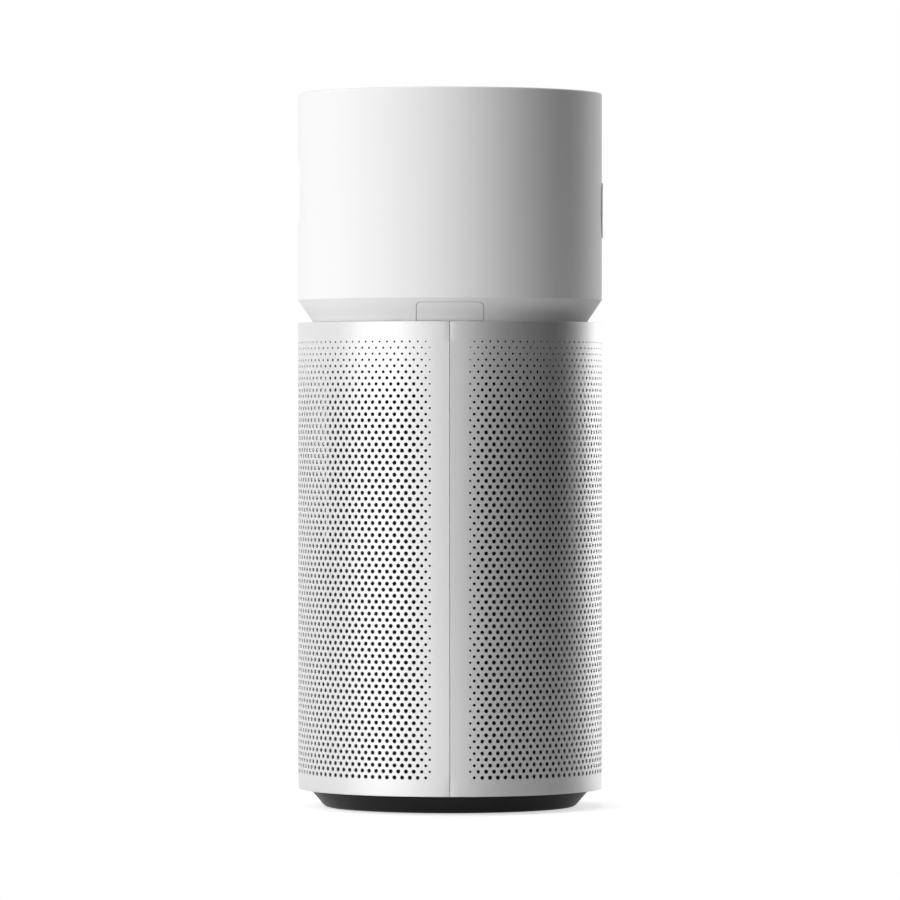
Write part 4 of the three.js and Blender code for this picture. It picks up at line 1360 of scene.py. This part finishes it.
# ------------------------------------------------------------------ filter cartridge
@dataclass
class FilterCartridge:
    """The filter: a pleated drum under a net sleeve, between two end caps with a seal on top."""

    pleats: int = 96
    ridge: float = 0.45

    def build(self) -> None:
        """Make the sleeve, the core, the caps and the seal."""
        sleeve, core = Extent.of("filter_prefilter"), Extent.of("filter_core")
        self._sleeve(sleeve)
        wall = [(core.radius - 1.6, core.bottom), (core.radius, core.bottom), (core.radius, core.top),
                (core.radius - 1.6, core.top)]
        add_piece("filter_core_tube", lathe(wall, 0.2, 96), INNER_GREY, "filter", ["filter_core"])
        for node, bore in (("filter_bottom_cap", 0.0), ("filter_top_cap", core.radius - 1.6)):
            self._cap(node, bore)
        seal = Extent.of("filter_seal")
        inner = 84.0
        lip = [
            (inner, seal.bottom), (seal.radius, seal.bottom), (seal.radius, seal.bottom + 4.5),
            (seal.radius - 4, seal.top), (inner + 4, seal.top), (inner, seal.bottom + 4.5),
        ]
        add_piece("filter_seal_ring", lathe(lip, 1.2, 144), PAD_RUBBER, "filter", ["filter_seal"])

    def _sleeve(self, box: Extent) -> None:
        """Make the net sleeve: radius R + ridge |sin(n a / 2)| round it, drawn over the pleats."""
        columns = self.pleats * 8
        a = np.arange(columns) * TURN / columns
        swell = self.ridge * (np.abs(np.sin(self.pleats * a / 2)) - 1)
        height = np.linspace(box.bottom, box.top, 12)
        r_out = box.radius + swell
        r_in = box.radius - 1.6 + 0 * swell
        rings = [(r_out, h) for h in height] + [(r_in, height[-1]), (r_in, height[0])]
        points = np.stack([np.stack([r * np.cos(a), r * np.sin(a), h + 0 * a], -1) for r, h in rings])
        shape = Surface(points.reshape(-1, 3), [quads(len(rings), columns, True, True)])
        add_piece("filter_net_sleeve", shape, FILTER_NET, "filter", ["filter_prefilter"])

    def _cap(self, node: str, bore: float) -> None:
        """Make one end cap: a disc or ring with a raised rim round its edge."""
        box = Extent.of(node)
        r, low, high = box.radius, box.bottom, box.top
        flange = [(bore, low), (r, low), (r, high), (r - 3, high), (r - 4, high - 1.2), (bore, high - 1.2)]
        add_piece(f"{node}_plate", lathe(flange, 0.5, 144), BASE_BLACK, "filter", [node])


# ------------------------------------------------------------------ fan
@dataclass
class FanUnit:
    """The casing round the fan."""

    def build(self) -> None:
        """Make the casing as a tube with a flared inlet."""
        box = Extent.of("fan_casing")
        r, low, high = box.radius, box.bottom, box.top
        profile = [
            (95, low), (r, low), (r, high), (r - 2.5, high), (r - 2.5, 500), (112, 487), (100, 482.5), (95, 484),
        ]
        add_piece("fan_casing_tube", lathe(profile, 1.2, 144), INNER_GREY, "housing", ["fan_casing"])


# ------------------------------------------------------------------ studio
@dataclass
class Studio:
    """The floor, the lights, the surroundings and the camera."""

    distance: float = 6.224
    camera_height: float = 0.3914
    aim_height: float = 0.3524
    lens: float = 251.9
    floor_bounce: float = 0.8
    floor_glow: float = 0.6
    bounce_glow: float = 0.15

    def build(self) -> None:
        """Set up everything that isn't part of the object."""
        self._floor()
        self._surroundings()
        self._lights()
        self._camera()
        bpy.context.scene.view_settings.view_transform = "Standard"

    def _floor(self) -> None:
        """Lay a pale round floor that fades out with its distance from the object."""
        rings = np.array([0.0, 0.3, 0.8, 1.6, 2.4])[::-1] / MM
        profile = np.stack([rings, 0 * rings - 0.05], 1)
        profile = profile[::-1]
        a = np.arange(96) * TURN / 96
        points = np.stack([profile[:, :1] * np.cos(a), profile[:, :1] * np.sin(a), profile[:, 1:] + 0 * a], -1)
        shape = Surface(points.reshape(-1, 3), [quads(len(profile), 96, False, True)]).flipped()
        floor = bpy.data.objects.new("studio_floor", mesh_of("studio_floor", shape))
        bpy.context.scene.collection.objects.link(floor)
        material = bpy.data.materials.new("studio_floor_white")
        material.use_nodes = True
        tree = material.node_tree
        shader = tree.nodes["Principled BSDF"]
        shader.inputs["Base Color"].default_value = (0.9, 0.9, 0.9, 1)
        shader.inputs["Roughness"].default_value = 0.9
        shader.inputs["Specular IOR Level"].default_value = 0.1
        place = tree.nodes.new("ShaderNodeTexCoord").outputs["Object"]
        length = tree.nodes.new("ShaderNodeVectorMath")
        length.operation = "LENGTH"
        tree.links.new(place, length.inputs[0])
        fade = tree.nodes.new("ShaderNodeMapRange")
        fade.interpolation_type = "SMOOTHSTEP"
        for label, value in (("From Min", 0.25), ("From Max", 1.3), ("To Min", 1.0), ("To Max", 0.0)):
            fade.inputs[label].default_value = value
        tree.links.new(length.outputs["Value"], fade.inputs["Value"])
        seen = tree.nodes.new("ShaderNodeLightPath").outputs["Is Camera Ray"]
        above = arithmetic(tree, "SUBTRACT", 1.0, tree.nodes.new("ShaderNodeNewGeometry").outputs["Backfacing"])
        share = tree.nodes.new("ShaderNodeMapRange")
        share.inputs["To Min"].default_value = self.floor_bounce
        share.inputs["To Max"].default_value = 1.0
        tree.links.new(seen, share.inputs["Value"])
        visible = arithmetic(tree, "MULTIPLY", share.outputs["Result"], above)
        tree.links.new(arithmetic(tree, "MULTIPLY", fade.outputs["Result"], visible), shader.inputs["Alpha"])
        shader.inputs["Emission Color"].default_value = (1, 1, 1, 1)
        glow = arithmetic(tree, "MULTIPLY", seen, self.floor_glow - self.bounce_glow)
        tree.links.new(arithmetic(tree, "ADD", glow, self.bounce_glow), shader.inputs["Emission Strength"])
        floor.data.materials.append(material)

    def _surroundings(self) -> None:
        """Light the room dimly, with white seen behind the object."""
        world = bpy.data.worlds.new("studio_air")
        bpy.context.scene.world = world
        world.use_nodes = True
        tree = world.node_tree
        soft = tree.nodes["Background"]
        soft.inputs["Color"].default_value = (1, 1, 1, 1)
        soft.inputs["Strength"].default_value = 0.0
        seen = tree.nodes.new("ShaderNodeBackground")
        seen.inputs["Color"].default_value = (1, 1, 1, 1)
        seen.inputs["Strength"].default_value = 1.0
        mix = tree.nodes.new("ShaderNodeMixShader")
        tree.links.new(tree.nodes.new("ShaderNodeLightPath").outputs["Is Camera Ray"], mix.inputs[0])
        tree.links.new(soft.outputs[0], mix.inputs[1])
        tree.links.new(seen.outputs[0], mix.inputs[2])
        tree.links.new(mix.outputs[0], tree.nodes["World Output"].inputs["Surface"])

    def _lights(self) -> None:
        """Place the soft boxes. Azimuth is measured from the camera towards the display's side."""
        for name, azimuth, width, power in (
            ("fill", 11, 1.6, 27),
            ("key", 53, 2.0, 70),
            ("left_rim", 116, 1.6, 27),
            ("left_back", 150, 1.2, 16),
            ("right_rim", -137, 1.2, 58),
        ):
            self._soft_box(name, azimuth, 0.9, 3.0, width, 2.4, power)
        self._soft_box("top", 0, 2.6, 0.02, 0.9, 0.9, 16)

    def _soft_box(
        self, name: str, azimuth: float, height: float, distance: float, width: float, tall: float, power: float
    ) -> None:
        """Place one rectangular light on a circle round the object, aimed at its middle."""
        data = bpy.data.lights.new(name, "AREA")
        data.shape = "RECTANGLE"
        data.size, data.size_y, data.energy = width, tall, power
        lamp = bpy.data.objects.new(name, data)
        lamp.visible_camera = False
        a = math.radians(azimuth)
        lamp.location = (distance * math.cos(a), -distance * math.sin(a), height)
        aim = Vector((0, 0, 0.38)) - lamp.location
        lamp.rotation_euler = aim.to_track_quat("-Z", "Y").to_euler()
        bpy.context.scene.collection.objects.link(lamp)

    def _camera(self) -> None:
        """Look along -X from the seam's side, with a long lens."""
        data = bpy.data.cameras.new("camera")
        data.lens = self.lens
        data.sensor_width = 36.0
        data.clip_end = 100.0
        camera = bpy.data.objects.new("camera", data)
        camera.location = (self.distance, 0, self.camera_height)
        aim = Vector((0, 0, self.aim_height)) - camera.location
        camera.rotation_euler = aim.to_track_quat("-Z", "Y").to_euler()
        bpy.context.scene.collection.objects.link(camera)
        bpy.context.scene.camera = camera


# ------------------------------------------------------------------ the whole object
def dress_cad_nodes() -> None:
    """Give every CAD node its slot's finish; those that a piece replaces are hidden anyway."""
    for part in frame["record"]["subparts"]:
        node = frame["nodes"][part["node"]]
        node.data.materials.clear()
        node.data.materials.append(SLOT_FINISHES[part["material_slot"]].material())


def main() -> None:
    """Build the sub-assemblies in order, from the floor up."""
    logging.basicConfig(level=logging.INFO, format="%(name)s: %(message)s")
    dress_cad_nodes()
    for assembly in (Base(), Sleeve(), Neck(), Drum(), Outlet(), FilterCartridge(), FanUnit()):
        assembly.build()
        LOG.info("built %s", type(assembly).__name__)
    Studio().build()


if __name__ == "__main__":
    main()
